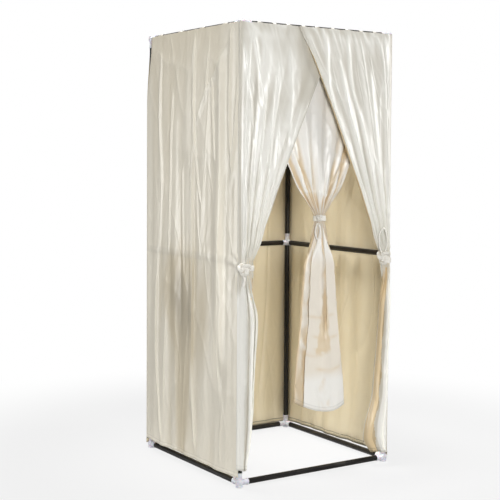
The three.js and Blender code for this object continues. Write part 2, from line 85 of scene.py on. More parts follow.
def addCamera():
    yaw, pitch, roll = (math.radians(viewpoint[name]) for name in ("yaw", "pitch", "roll"))
    turns = [(-yaw, "Z"), (math.pi / 2 + pitch, "X"), (roll, "Z")]
    camera = bpy.data.objects.new("camera", bpy.data.cameras.new("camera"))
    camera.matrix_world = Matrix.Translation(Vector(viewpoint["place"]) + Vector(roomMiddle))
    for angle, axis in turns:
        camera.matrix_world = camera.matrix_world @ Matrix.Rotation(angle, 4, axis)
    camera.data.lens = viewpoint["lens"]
    camera.data.shift_x, camera.data.shift_y = viewpoint["shift"]
    scene.collection.objects.link(camera)
    scene.camera = camera


addCamera()
print("camera placed")


# Node trees

class Wire:
    # One socket of a node tree. Sums of wires add their Math nodes.
    def __init__(self, tree, socket=None):
        self.tree = tree
        self.socket = socket

    def node(self, kind, settings=None, values=None, output=0):
        made = self.tree.nodes.new(kind)
        for name, value in (settings or {}).items():
            setattr(made, name, value)
        for name, value in (values or {}).items():
            if isinstance(value, Wire):
                self.tree.links.new(value.socket, made.inputs[name])
            else:
                made.inputs[name].default_value = value
        return Wire(self.tree, made.outputs[output] if len(made.outputs) else None)

    def maths(self, operation, second=0.0):
        return self.node("ShaderNodeMath", {"operation": operation}, {0: self, 1: second})

    def vector(self, operation, values, output=0):
        return self.node("ShaderNodeVectorMath", {"operation": operation}, {0: self, **values}, output)

    def mixed(self, first, second):
        settings = {"data_type": "RGBA", "blend_type": "MIX"}
        return self.node("ShaderNodeMix", settings, {0: self, 6: (*first, 1), 7: (*second, 1)}, 2)

    def between(self, low, high):
        values = {"Value": self, "From Min": low, "From Max": high}
        return self.node("ShaderNodeMapRange", {"interpolation_type": "SMOOTHSTEP"}, values)

    def noise(self, scale, detail=2.0, roughness=0.5):
        values = {"Vector": self, "Scale": scale, "Detail": detail, "Roughness": roughness}
        return self.node("ShaderNodeTexNoise", {}, values, "Fac")

    def bump(self):
        return self.node("ShaderNodeBump", {}, {"Strength": 1.0, "Distance": 1.0, "Height": self})

    def principled(self, values):
        return self.node("ShaderNodeBsdfPrincipled", {}, values)

    def surface(self):
        self.node("ShaderNodeOutputMaterial", {}, {"Surface": self})

    def __add__(self, other):
        return self.maths("ADD", other)

    def __sub__(self, other):
        return self.maths("SUBTRACT", other)

    def __rsub__(self, other):
        return self * -1 + other

    def __mul__(self, other):
        return self.maths("MULTIPLY", other)

    def __abs__(self):
        return self.maths("ABSOLUTE")

    __radd__ = __add__
    __rmul__ = __mul__


def newFinish(name):
    finish = bpy.data.materials.new(name)
    finish.use_nodes = True
    finish.node_tree.nodes.clear()
    wire = Wire(finish.node_tree)
    return finish, wire, wire.node("ShaderNodeTexCoord", output="Object")


# Finishes

# One ivory satin in six finishes, whose base colours are painted light and shade: the walls darker, the flaps
# lighter, the centre curtain lightest, and the linings warm as if lit through the cloth. Each fold colour is
# the painted shade that the cloth darkens towards in its folds.
satins = {
    "wall satin": {"colour": (0.81, 0.76, 0.64), "fold": (0.60, 0.52, 0.37), "seam": 0.8, "band": 0.02},
    "flap satin": {"colour": (0.88, 0.865, 0.80), "fold": (0.56, 0.52, 0.43), "seam": 0.8, "band": 0.03},
    "curtain satin": {"colour": (0.93, 0.91, 0.855), "fold": (0.74, 0.58, 0.36), "seam": 0.8, "band": 0.03},
    "tie satin": {"colour": (0.83, 0.80, 0.73), "fold": (0.40, 0.32, 0.20), "seam": 0, "band": 0},
    "wall lining": {"colour": (0.88, 0.785, 0.57), "fold": (0.76, 0.63, 0.39), "seam": 3.4, "band": 0.1},
    "flap lining": {"colour": (0.78, 0.61, 0.36), "fold": (0.48, 0.375, 0.225), "seam": 1.2, "band": 0.05},
}
# Noises over the cloth, the slubs along its threads. A size is a scale, a detail and a roughness.
grains = {
    "mottle": {"stretch": (1, 1, 0.5), "size": (6.0, 3.0), "tint": 0.10, "rough": 0.12},
    "slub": {"threads": (900, 26, 1), "size": (1.0, 3.0), "tint": 0.05, "relief": 0.00005},
    "weft": {"threads": (22, 700, 1), "size": (1.0, 2.0), "tint": 0.04, "rough": 0.08, "relief": 0.00004},
    "crumple": {"stretch": (1, 1, 0.3), "size": (20.0, 2.0, 0.45), "relief": 0.0014},
    "fine crumple": {"stretch": (1, 1, 0.6), "size": (85.0, 2.0), "relief": 0.0003},
}
satin = {
    "tint": 0.905,
    "rough": 0.27,
    "sheen": 0.2,
    "deepShade": 0.3,
    "foldFrom": (0.25, 0.95),
    "foldShare": 0.85,
    "pressed": 0.0001,
    "railWidth": (0.009, 0.024),
    "railShade": 0.075,
    "seamPlaces": (1, 0.25),
    "seamWidth": (0.03, 0.16),
    "seamShade": 0.14,
    "seamRelief": -0.0004,
}


def satinFinish(name):
    look = satins[name]
    finish, wire, place = newFinish(name)
    flat = wire.node("ShaderNodeUVMap", {"uv_map": "flat"})
    depth, inset = (
        wire.node("ShaderNodeAttribute", {"attribute_name": field}, output="Fac")
        for field in ("fold", "inset")
    )
    noises = {}
    for grain, row in grains.items():
        source, stretch = (flat, row["threads"]) if "threads" in row else (place, row["stretch"])
        noises[grain] = source.vector("MULTIPLY", {1: stretch}).noise(*row["size"])

    def summed(effect):
        return sum(noises[grain] * row[effect] for grain, row in grains.items() if effect in row)

    # Painted shade: the colour goes towards the fold colour as the painted shade field rises, deepest in
    # folds
    colour = (depth.between(*satin["foldFrom"]) * satin["foldShare"]).mixed(look["colour"], look["fold"])
    # Below 0 the fold's depth stands for cloth that faces the light, and over 1 for deep shade
    sheen = (0 - depth).between(0.0, 1.0) * satin["sheen"] - depth.between(1.0, 2.2) * satin["deepShade"]
    seam = 2 - sum(abs(inset - place).between(*satin["seamWidth"]) for place in satin["seamPlaces"])
    seam = seam * look["seam"]
    # A hem is two layers thick, so less light comes through it
    doubled = (1 - inset.between(0.96, 1.04)) * look["band"]
    tint = (summed("tint") + sheen + satin["tint"]) * (1 - seam * satin["seamShade"] - doubled)
    if name == "wall satin":
        # Painted shade: a faint dark band at the middle rail's height stands for the rails behind showing
        # through the thin cloth
        height = wire.node("ShaderNodeSeparateXYZ", {}, {0: place}, "Z")
        nearRail = abs(height - float(railHeights["mid"])).between(*satin["railWidth"])
        tint = tint * (1 - (1 - nearRail) * satin["railShade"])
    # Creases where two slow noises meet, as pressed cloth keeps them
    pressed = abs(noises["crumple"] - 0.5).between(0.0, 0.05)
    relief = seam * satin["seamRelief"] + pressed * satin["pressed"] + summed("relief")
    wire.principled({
        "Base Color": colour.vector("SCALE", {"Scale": tint}),
        "Roughness": summed("rough") + satin["rough"],
        "Specular IOR Level": 0.8,
        "Normal": relief.bump(),
    }).surface()
    return finish


def tubeFinish():
    finish, wire, place = newFinish("satin black steel")
    dimples = place.noise(900.0)
    wearAndShade = place.noise(14.0, 5.0).between(0.5, 0.78)
    wire.principled({
        "Base Color": wearAndShade.mixed((0.012, 0.0105, 0.0095), (0.03, 0.026, 0.022)),
        "Metallic": 0.25,
        "Roughness": wearAndShade * 0.12 + dimples * 0.1 + 0.26,
        "Normal": (dimples * 0.00004).bump(),
    }).surface()
    return finish


def plasticFinish():
    finish, wire, place = newFinish("milky plastic")
    cloud, skin = place.noise(60.0, 3.0), place.noise(700.0)
    wire.principled({
        "Base Color": cloud.between(0.3, 0.7).mixed((0.66, 0.655, 0.72), (0.80, 0.795, 0.85)),
        "Roughness": cloud * 0.12 + skin * 0.06 + 0.24,
        "Specular IOR Level": 0.5,
        "Subsurface Weight": 0.15,
        "Subsurface Scale": 0.004,
        "Normal": (skin * 0.00005).bump(),
    }).surface()
    return finish


def threadFinish():
    finish, wire, place = newFinish("ivory thread")
    fluff = place.noise(1500.0, 1.0)
    wire.principled({
        "Base Color": fluff.mixed((0.62, 0.56, 0.44), (0.78, 0.73, 0.62)),
        "Roughness": fluff * 0.2 + 0.5,
    }).surface()
    return finish


finishes = {name: satinFinish(name) for name in satins}
finishes |= {"tube": tubeFinish(), "connector": plasticFinish(), "thread": threadFinish()}
print("finishes made:", len(finishes))


# Shells: lists of points about the room's middle, with their faces

def joined(shells):
    points, faces, start = [], [], 0
    for shellPoints, shellFaces in shells:
        points.extend(np.asarray(shellPoints).tolist())
        faces.extend([tuple(i + start for i in face) for face in shellFaces])
        start += len(shellPoints)
    return np.array(points), faces


def addPiece(name, shell, finish, softAngle=None):
    points, faces = shell
    mesh = bpy.data.meshes.new(name)
    mesh.from_pydata((np.asarray(points) + roomMiddle).tolist(), [], [tuple(map(int, f)) for f in faces])
    mesh.materials.append(finishes[finish])
    mesh.shade_smooth()
    if softAngle:
        mesh.set_sharp_from_angle(angle=math.radians(softAngle))
    piece = bpy.data.objects.new(name, mesh)
    scene.collection.objects.link(piece)
    return piece


def claim(piece, node, body="frame"):
    # The piece stands for a node of the CAD model
    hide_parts(node)
    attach(piece, body)


def framed(direction):
    # Two directions square to a third, which they follow in a right-handed order
    direction = np.asarray(direction, float)
    first = np.cross(direction, xAxis if abs(direction[2]) > 0.5 else zAxis)
    first /= np.linalg.norm(first)
    return first, np.cross(direction, first)


def turned(profile, sides, start, direction, ribs=0, ribDepth=0.0, ribbed=(0, 0)):
    # Turned about an axis: the profile's points are a radius and a place along it, and radius 0 is a pole
    first, second = framed(direction)
    angles = 2 * np.pi * np.arange(sides) / sides
    ring = np.cos(angles)[:, None] * first + np.sin(angles)[:, None] * second
    points, rings, faces = [], [], []
    for radius, along in profile:
        middle = np.asarray(start, float) + np.asarray(direction, float) * along
        if radius == 0:
            rings.append([len(points)])
            points.append(middle)
        else:
            hasRibs = ribbed[0] < along < ribbed[1]
            raised = ribDepth * np.clip(np.cos(ribs * angles), 0, 1) ** 3 if hasRibs else 0
            rings.append(list(range(len(points), len(points) + sides)))
            points.extend(middle + ring * np.reshape(radius + raised, (-1, 1)))
    closes = len(rings[0]) > 1
    for one, other in zip(rings, rings[1:] + rings[:1] if closes else rings[1:]):
        for i in range(sides):
            j = (i + 1) % sides
            if len(one) == 1:
                faces.append((one[0], other[j], other[i]))
            elif len(other) == 1:
                faces.append((one[i], one[j], other[0]))
            else:
                faces.append((one[i], one[j], other[j], other[i]))
    return facingOut(points, faces)


def facingOut(points, faces):
    # Turned round if the shell's volume comes out negative
    points = np.array(points, float)
    fans = [(face[0], *face[i:i + 2]) for face in faces for i in range(1, len(face) - 1)]
    volume = np.linalg.det(points[np.array(fans)]).sum()
    return points, faces if volume > 0 else [tuple(reversed(f)) for f in faces]


# Frame: tubes and connectors

tube = {"sides": 40, "wall": 0.001, "lip": 0.0005}
connector = {
    "sides": 32,
    "collar": 0.0145,
    "collarLength": 0.006,
    "edge": 0.0008,
    "spigot": 0.0108,
    "spigotLength": 0.024,
    "ribs": 6,
    "ribDepth": 0.0009,
    "hub": 0.0163,
    "hubSquareness": 2.7,
    "hubCuts": 7,
    "cornerReach": 0.043,
    "midReach": 0.031,
    "midUp": 0.047,
    "midDown": 0.014,
    "foot": 0.016,
    "footRim": 0.003,
    "footNeck": 0.0135,
}


def addTube(node):
    low, high = (np.array(corner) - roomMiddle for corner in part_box(node))
    run = int(np.argmax(high - low))
    direction = np.eye(3)[run]
    start = (low + high) / 2 * (1 - direction) + low * direction
    length = high[run] - low[run]
    bore, lip = tubeRadius - tube["wall"], tube["lip"]
    profile = [
        (bore, 0), (tubeRadius - lip, 0), (tubeRadius, lip),
        (tubeRadius, length - lip), (tubeRadius - lip, length), (bore, length),
    ]
    shell = turned(profile, tube["sides"], start, direction)
    claim(addPiece(f"{node}_tube", shell, "tube", 40), node)


def armProfile(reach):
    edge, collar = connector["edge"], connector["collar"]
    start = reach - connector["collarLength"]
    spigotEnd = reach + connector["spigotLength"]
    return [
        (0, 0), (tubeRadius, 0.0005), (tubeRadius, 0.012), (tubeRadius, 0.013), (tubeRadius, start - 0.002),
        (tubeRadius, start - 0.001), (collar - edge, start), (collar, start + edge), (collar, reach - edge),
        (collar - edge, reach), (connector["spigot"], reach), (connector["spigot"], spigotEnd - edge),
        (connector["spigot"] - edge, spigotEnd), (0, spigotEnd),
    ]


def arm(reach, start, direction):
    ribbed = (0.0125, reach - connector["collarLength"] - 0.0015)
    ribs = (connector["ribs"], connector["ribDepth"], ribbed)
    return turned(armProfile(reach), connector["sides"], start, direction, *ribs)


def hubShell(middle):
    # A ball pressed towards a cube, as the moulded bodies are
    cube = bmesh.new()
    bmesh.ops.create_cube(cube, size=2)
    bmesh.ops.subdivide_edges(cube, edges=cube.edges, cuts=connector["hubCuts"], use_grid_fill=True)
    points = np.array([v.co for v in cube.verts])
    faces = [tuple(v.index for v in face.verts) for face in cube.faces]
    cube.free()
    power = connector["hubSquareness"]
    points /= (np.abs(points) ** power).sum(1, keepdims=True) ** (1 / power)
    return facingOut(points * connector["hub"] + middle, faces)


def addConnector(node, shells):
    claim(addPiece(f"{node}_moulding", joined(shells), "connector", 38), node)


def addFrame():
    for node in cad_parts:
        if "rail" in node or "post" in node:
            addTube(node)
    for corner in corners:
        signY = -1 if corner.startswith("front") else 1
        signX = -1 if corner.endswith("left") else 1
        post = np.array((signX * half, signY * half, 0))
        inward = [-signX * xAxis, -signY * yAxis]
        bottom, mid, top = (post + railHeights[level] * zAxis for level in ("bottom", "mid", "top"))
        height = railHeights["bottom"]
        reach, wide, rim, neck = (connector[key] for key in ("cornerReach", "foot", "footRim", "footNeck"))
        foot = [
            (0, 0), (wide - 0.001, 0), (wide, 0.001), (wide, rim), (neck + 0.0008, rim + 0.003),
            (neck, height * 0.6), (neck, height), (0, height),
        ]
        addConnector(
            f"bottom_connector_{corner}",
            [arm(reach, bottom, way) for way in (*inward, zAxis)]
            + [hubShell(bottom), turned(foot, connector["sides"], post, zAxis)],
        )
        addConnector(
            f"top_connector_{corner}", [arm(reach, top, way) for way in (*inward, -zAxis)] + [hubShell(top)]
        )
        sideways = inward[1:] if signY < 0 else inward
        upper = armProfile(connector["midUp"])[1:]
        lower = [(radius, -along) for radius, along in armProfile(connector["midDown"])[5:]]
        sleeve = turned(lower[::-1] + upper[3:], connector["sides"], mid, zAxis)
        addConnector(
            f"mid_connector_{corner}",
            [sleeve] + [arm(connector["midReach"], mid, way) for way in sideways],
        )


addFrame()
print("frame dressed: tubes and connectors")


# Cloth

cloth = {
    "thick": 0.0012,
    "hemThick": 0.0024,
    "standOff": 0.0182,
    "top": 1.993,
    "sag": 0.003,
    "heldWidth": 0.013,
    "bands": {"bottom": 0.02, "first": 0.012, "last": 0.012},
    "seams": [("bottom", 0.005), ("bottom", 0.017), ("first", 0.009), ("last", 0.009)],
    "seamLift": 0.0003,
    "tieTop": 0.962,
    "tieBottom": 0.937,
    "gathering": 2.4,
    "spreading": 0.25,
}
# Narrow rows along the top edge, so that only they turn over its rim
topRows = [0.0, 0.0005, 0.0012]


def unit(vectors):
    return vectors / np.linalg.norm(vectors, axis=-1, keepdims=True)


def smooth(low, high, value):
    share = np.clip((value - low) / (high - low), 0, 1)
    return share * share * (3 - 2 * share)


def window(rising, falling, value):
    return smooth(*rising, value) * smooth(*falling, value)


def bell(offset, width):
    return np.exp(-((offset / width) ** 2))


def fromEdges(across):
    return np.minimum(across, 1 - across)


def through(points, value):
    # A smooth curve through points, read at a value, level beyond its ends
    places, values = np.array(sorted(points), float).T
    slopes = np.gradient(values, places)
    value = np.clip(value, places[0], places[-1])
    i = np.clip(np.searchsorted(places, value) - 1, 0, len(places) - 2)
    step = places[i + 1] - places[i]
    t = (value - places[i]) / step
    return (
        values[i] * (1 + 2 * t) * (1 - t) ** 2
        + values[i + 1] * t * t * (3 - 2 * t)
        + slopes[i] * step * t * (1 - t) ** 2
        - slopes[i + 1] * step * t * t * (1 - t)
    )


def softNoise(u, v, sizeU, sizeV, seed):
    # Slow random waves from -1 to 1, about that far apart
    lattice = np.random.default_rng(seed).uniform(-1, 1, (97, 97))
    x, y = u / sizeU + 40, v / sizeV + 40
    i, j = np.floor(x).astype(int), np.floor(y).astype(int)
    fx, fy = smooth(0, 1, x - i), smooth(0, 1, y - j)

    def row(b):
        return lattice[i % 97, (j + b) % 97] * (1 - fx) + lattice[(i + 1) % 97, (j + b) % 97] * fx

    return row(0) * (1 - fy) + row(1) * fy


def rippled(rows, parts, height, seed):
    # The sum of noises. A row says which part it covers and its rise, slant, size across and down, seed step
    # and kind: waves run from -1 to 1, swells from 0 to 2, and a number is the sharpness of branching crests.
    total = 0
    for part, rise, slant, wide, tall, step, kind in rows:
        share, place = parts[part]
        noise = softNoise(place + slant * height, height, wide, tall, seed + step)
        if kind == "swells":
            noise = 1 + noise
        elif kind != "waves":
            noise = (1 - np.abs(noise)) ** kind
        total = total + rise * share * noise
    return total


def foldWave(folds, share):
    drift = 0.02 * np.sin(2 * np.pi * 1.2 * share + folds)
    return np.cos(2 * np.pi * folds * (share + drift))


def creased(across, along, creases, fade=0.06):
    # Ridges that follow lines of (along, across) points. Each is (line, width, rise), sharp at its crest.
    total = 0
    for line, width, rise in creases:
        places = sorted(place for place, _ in line)
        shown = smooth(places[0] - fade, places[0] + fade, along)
        shown = shown * (1 - smooth(places[-1] - fade, places[-1] + fade, along))
        side = np.abs(across - through(line, along)) / width
        total = total + rise * shown * np.exp(-(side**1.5))
    return total


def puckered(across, height, middle, rays, reach, rise, turn=0.0):
    # Gathers that stand out round a knot and die away from it
    dx, dz = across - middle[0], height - middle[1]
    distance = np.hypot(dx, dz)
    near = bell(distance - 0.03, reach) * smooth(0.005, 0.03, distance)
    return rise * near * np.cos(rays * np.arctan2(dz, dx) + turn + 40 * distance)


def sagged(along, height, loops):
    # The top edge hangs a little between its loops, and the rail shows over it
    held = np.max([bell(along - place, cloth["heldWidth"]) for place in loops], 0)
    return cloth["sag"] * (1 - held) * np.exp((height - cloth["top"]) / 0.04)


def insetsOf(flat):
    # How far a sheet's points lie from its hem and its two edges
    across, height = flat[..., 0], flat[..., 1]
    return {"bottom": height - height[-1:], "first": across - across[:, :1], "last": across[:, -1:] - across}


def addField(piece, name, values):
    field = piece.data.attributes.new(name, "FLOAT", "POINT")
    field.data.foreach_set("value", values.ravel().astype(np.float32))


def hangCloth(name, points, flat, fold, outward, finish, lining, hems):
    # A sheet from a grid of points on its outer face, with a map of the flat cloth and a field of painted
    # light and shade, mostly from its folds' depth
    rows, columns = fold.shape
    index = np.arange(rows * columns).reshape(rows, columns)
    quads = np.stack([index[:-1, :-1], index[1:, :-1], index[1:, 1:], index[:-1, 1:]], -1).reshape(-1, 4)
    places = points.reshape(-1, 3)
    a, b, c = (places[quads[:, i]] for i in range(3))
    if (np.cross(b - a, c - a) @ outward).sum() < 0:
        quads = quads[:, ::-1]
    sheet = addPiece(name, (places, quads), finish)
    sheet.data.materials.append(finishes[lining])
    sheet.data.uv_layers.new(name="flat").data.foreach_set("uv", flat.reshape(-1, 2)[quads.ravel()].ravel())
    addField(sheet, "fold", fold)
    # 1 where a hem's inner edge is sewn down, in shares of the hem's width
    insets = insetsOf(flat)
    inset = np.min([insets[side] / cloth["bands"][side] for side in hems], 0)
    addField(sheet, "inset", inset)
    group = sheet.vertex_groups.new(name="hem")
    group.add(index[inset < 1].tolist(), 1.0, "REPLACE")
    shell = sheet.modifiers.new("thickness", "SOLIDIFY")
    shell.thickness = cloth["hemThick"]
    shell.offset = -1
    shell.material_offset = 1
    shell.vertex_group = "hem"
    shell.thickness_vertex_group = cloth["thick"] / cloth["hemThick"]
    return sheet


def areaOf(points):
    down, across = np.diff(points, axis=0)[:, :-1], np.diff(points, axis=1)[:-1]
    return float(np.linalg.norm(np.cross(down, across), axis=2).sum())


def seamsOf(points, flat, outward, hems):
    # Lines on both faces of a sheet, set in from its hems
    normals = np.cross(np.gradient(points, axis=1), np.gradient(points, axis=0))
    normals /= np.linalg.norm(normals, axis=2, keepdims=True) + 1e-12
    normals *= np.sign((normals * outward).sum())
    insets, lift, found = insetsOf(flat), cloth["seamLift"], []
    for face in (points + normals * lift, points - normals * (cloth["thick"] + lift)):
        for side, line in cloth["seams"]:
            if side in hems:
                inset, grid = insets[side], face
                if side == "bottom":
                    inset, grid = inset[::-1].T, face[::-1].swapaxes(0, 1)
                elif side == "last":
                    inset, grid = inset[:, ::-1], face[:, ::-1]
                found.append(np.array([
                    [np.interp(line, places, row[:, axis]) for axis in range(3)]
                    for places, row in zip(inset, grid)
                ]))
    return found


# Stitches, made by one node tree along the seams

stitch = {"spacing": 0.0045, "length": 0.0032, "radius": 0.0004, "seed": 7}


def stitchTree():
    tree = bpy.data.node_groups.new("stitches", "GeometryNodeTree")
    for name in ("Seams", "Spacing", "Length", "Radius", "Seed"):
        kind = {"Seams": "Geometry", "Seed": "Int"}.get(name, "Float")
        tree.interface.new_socket(name, in_out="INPUT", socket_type=f"NodeSocket{kind}")
    tree.interface.new_socket("Stitches", in_out="OUTPUT", socket_type="NodeSocketGeometry")
    wire = Wire(tree)
    source = tree.nodes.new("NodeGroupInput")
    given = {socket.name: Wire(tree, socket) for socket in source.outputs if socket.name}
    seam = wire.node("GeometryNodeMeshToCurve", {}, {"Mesh": given["Seams"]})
    spacing = {"Curve": seam, "Length": given["Spacing"]}
    spaced = wire.node("GeometryNodeResampleCurve", {"mode": "LENGTH"}, spacing)
    tangent = wire.node("GeometryNodeInputTangent")
    turn = wire.node("FunctionNodeAlignRotationToVector", {"axis": "Z"}, {"Vector": tangent})
    thread = wire.node("GeometryNodeMeshIcoSphere", {}, {"Radius": 1.0, "Subdivisions": 1})
    random = {2: 0.85, 3: 1.1, "Seed": given["Seed"]}
    size = wire.node("FunctionNodeRandomValue", {"data_type": "FLOAT"}, random, 1)
    sizes = {0: given["Radius"], 1: given["Radius"], 2: given["Length"] * 0.5 * size}
    shape = wire.node("ShaderNodeCombineXYZ", {}, sizes)
    placing = {"Points": spaced, "Instance": thread, "Rotation": turn, "Scale": shape}
    done = wire.node("GeometryNodeInstanceOnPoints", {}, placing)
    for kind in ("RealizeInstances", "SetShadeSmooth"):
        done = wire.node(f"GeometryNode{kind}", {}, {"Geometry": done})
    done = wire.node("GeometryNodeSetMaterial", {}, {"Geometry": done, "Material": finishes["thread"]})
    wire.node("NodeGroupOutput", {}, {"Stitches": done})
    return tree


stitches = stitchTree()


def settled(piece):
    # The piece's mesh with its modifiers applied
    seen = piece.evaluated_get(bpy.context.evaluated_depsgraph_get())
    mesh = bpy.data.meshes.new_from_object(seen)
    piece.modifiers.clear()
    return mesh


def sewSeams(name, lines):
    points, edges = [], []
    for line in lines:
        start = len(points)
        points.extend((line + roomMiddle).tolist())
        edges.extend((i, i + 1) for i in range(start, start + len(line) - 1))
    mesh = bpy.data.meshes.new(name)
    mesh.from_pydata(points, edges, [])
    guide = bpy.data.objects.new(name, mesh)
    scene.collection.objects.link(guide)
    maker = guide.modifiers.new("stitches", "NODES")
    maker.node_group = stitches
    for socket in stitches.interface.items_tree:
        if socket.in_out == "INPUT" and socket.name.lower() in stitch:
            maker[socket.identifier] = stitch[socket.name.lower()]
    guide.data = settled(guide)
    return guide


# Straps: flat bands along a path, for the loops, belts and knots

def squeezed(value, power):
    return np.sign(value) * np.abs(value) ** power


def ringFaces(count, sides, closed):
    # Quads between rings of points, with both ends capped unless the rings close
    faces = []
    for i in range(count if closed else count - 1):
        one, other = i * sides, (i + 1) % count * sides
        for k in range(sides):
            n = (k + 1) % sides
            faces.append((one + k, one + n, other + n, other + k))
    if not closed:
        faces.append(tuple(range(sides - 1, -1, -1)))
        faces.append(tuple(range((count - 1) * sides, count * sides)))
    return faces


def strapShell(path, facing, width, thick, closed=False, sides=12, gather=0.0):
    # facing is the direction that the strap's flat side looks in, at each point. Gathers run along the strap.
    path = np.asarray(path, float)
    count = len(path)
    tangent = unit(np.roll(path, -1, 0) - np.roll(path, 1, 0) if closed else np.gradient(path, axis=0))
    across = unit(np.cross(tangent, np.broadcast_to(np.asarray(facing, float), path.shape)))
    thin = np.cross(across, tangent)
    width, thick = (np.broadcast_to(np.asarray(size, float), count)[:, None] for size in (width, thick))
    angles = 2 * np.pi * np.arange(sides) / sides
    wide, high = squeezed(np.cos(angles), 0.45), squeezed(np.sin(angles), 0.75)
    drift = np.sin(np.linspace(0, 14, count))[:, None]
    ripple = gather * np.cos(11 * wide + 1.4 * drift) * np.sign(high)
    rings = (
        path[:, None]
        + across[:, None] * (wide * width / 2)[..., None]
        + thin[:, None] * (high * thick / 2 + ripple)[..., None]
    )
    return facingOut(rings.reshape(-1, 3), ringFaces(count, sides, closed))


def readVectors(mesh, field):
    values = np.zeros(len(mesh.vertices) * 3)
    mesh.vertices.foreach_get(field, values)
    return values.reshape(-1, 3)


def addSoft(name, shell, finish, softAngle=None):
    # A piece of strap or knotted cloth. Its map is its own places, which is enough for the weave.
    piece = addPiece(name, shell, finish, softAngle)
    places = readVectors(piece.data, "co")
    corners = np.zeros(len(piece.data.loops), int)
    piece.data.loops.foreach_get("vertex_index", corners)
    flat = np.stack([places[:, 0] + places[:, 1], places[:, 2]], 1)[corners]
    piece.data.uv_layers.new(name="flat").data.foreach_set("uv", flat.ravel())
    return piece


# Places beside the sides of the frame

sides = {
    "front": (-yAxis, xAxis),
    "back": (yAxis, xAxis),
    "left": (-xAxis, yAxis),
    "right": (xAxis, yAxis),
}


def beside(side, along, out, height):
    outward, run = sides[side]
    along, out, height = np.broadcast_arrays(along, out, height)
    return outward * (half + out[..., None]) + run * along[..., None] + zAxis * height[..., None]


# Loops that carry the cloth on the top rails

loop = {
    "width": 0.018,
    "thick": 0.0012,
    "clearance": 0.0008,
    "turn": (-0.35 * np.pi, 1.5 * np.pi),
    "steps": 28,
    "tail": 0.03,
    "tailSteps": 5,
    "tailReach": 1.6,
}


def railLoop(side, along, sewnOut):
    # Once round the rail, then down behind the cloth that it is sewn to
    radius = tubeRadius + loop["clearance"]
    toCloth = np.sign(sewnOut)
    angles = np.linspace(*loop["turn"], loop["steps"])
    outs, heights = toCloth * radius * np.cos(angles), railHeights["top"] + radius * np.sin(angles)
    down = np.linspace(1, 0, loop["tailSteps"], endpoint=False)
    tailOut = sewnOut - toCloth * loop["thick"] / 2
    tailOuts = outs[0] + (tailOut - outs[0]) * np.minimum(1, down * loop["tailReach"])
    outs = np.concatenate([tailOuts, outs])
    heights = np.concatenate([heights[0] - loop["tail"] * down, heights])
    path = beside(side, along, outs, heights)
    away = path - beside(side, along, 0, railHeights["top"])
    return strapShell(path, away, loop["width"], loop["thick"])


def addLoops(name, side, shares, body, sewnOut):
    shells = [railLoop(side, share * half, sewnOut) for share in shares]
    piece = addSoft(name, joined(shells), "tie satin", 50)
    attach(piece, body)
    return piece


# Walls

wallCloth = {
    "shape": 1.0,
    "foldDepth": 0.007,
    "folds": 7,
    "rows": 180,
    "columns": 260,
    "rearPull": 0.0,
    "frontPull": 0.0,
    "pullHeight": 0.33,
    "round": 0.0,
    "endBlend": 0.16,
    "edgeBlend": 0.03,
    "opening": 0.25,
    "calm": 0.0,
    "calmUp": (1.0, 1.7),
    "calmAlong": (-0.05, 0.2),
    # Which part, rise, slant, size across, size down, seed step and kind, as in rippled
    "ripples": [
        ("hung", 0.0032, 0.06, 0.062, 1.1, 0, "swells"),
        ("hung", 0.0026, 0.06, 0.14, 0.9, 6, 11),
        ("fine", 0.0012, 0, 0.024, 0.45, 1, "swells"),
        ("all", 0.0015, -0.3, 0.09, 0.25, 7, 13),
        ("all", 0.0005, 0.3, 0.014, 0.06, 2, "swells"),
        ("hem", 0.0009, 0, 0.013, 0.02, 4, "waves"),
    ],
    "creaseGain": 1.9,
    "railMark": (0.0014, 0.014),
    "hemLine": (0.014, 0.02),
    "hemRise": 0.0007,
    "footRise": 0.0016,
    "footFrom": (0.065, 0.04),
    "hemWander": 0.0035,
    "knot": None,
    "pucker": (9, 0.075, 0.0028),
    "knotRise": (0.002, 0.12),
    # How the painted shade follows the folds, and how much paler, as painted light, the front end is
    "shadeDepth": 0.013,
    "evenTint": 0.36,
    "foldTint": 0.6,
    "pale": 0,
    "paleFrom": (-0.22, -0.36),
    "shades": [],
    "loops": (-0.72, -0.24, 0.24, 0.72),
}
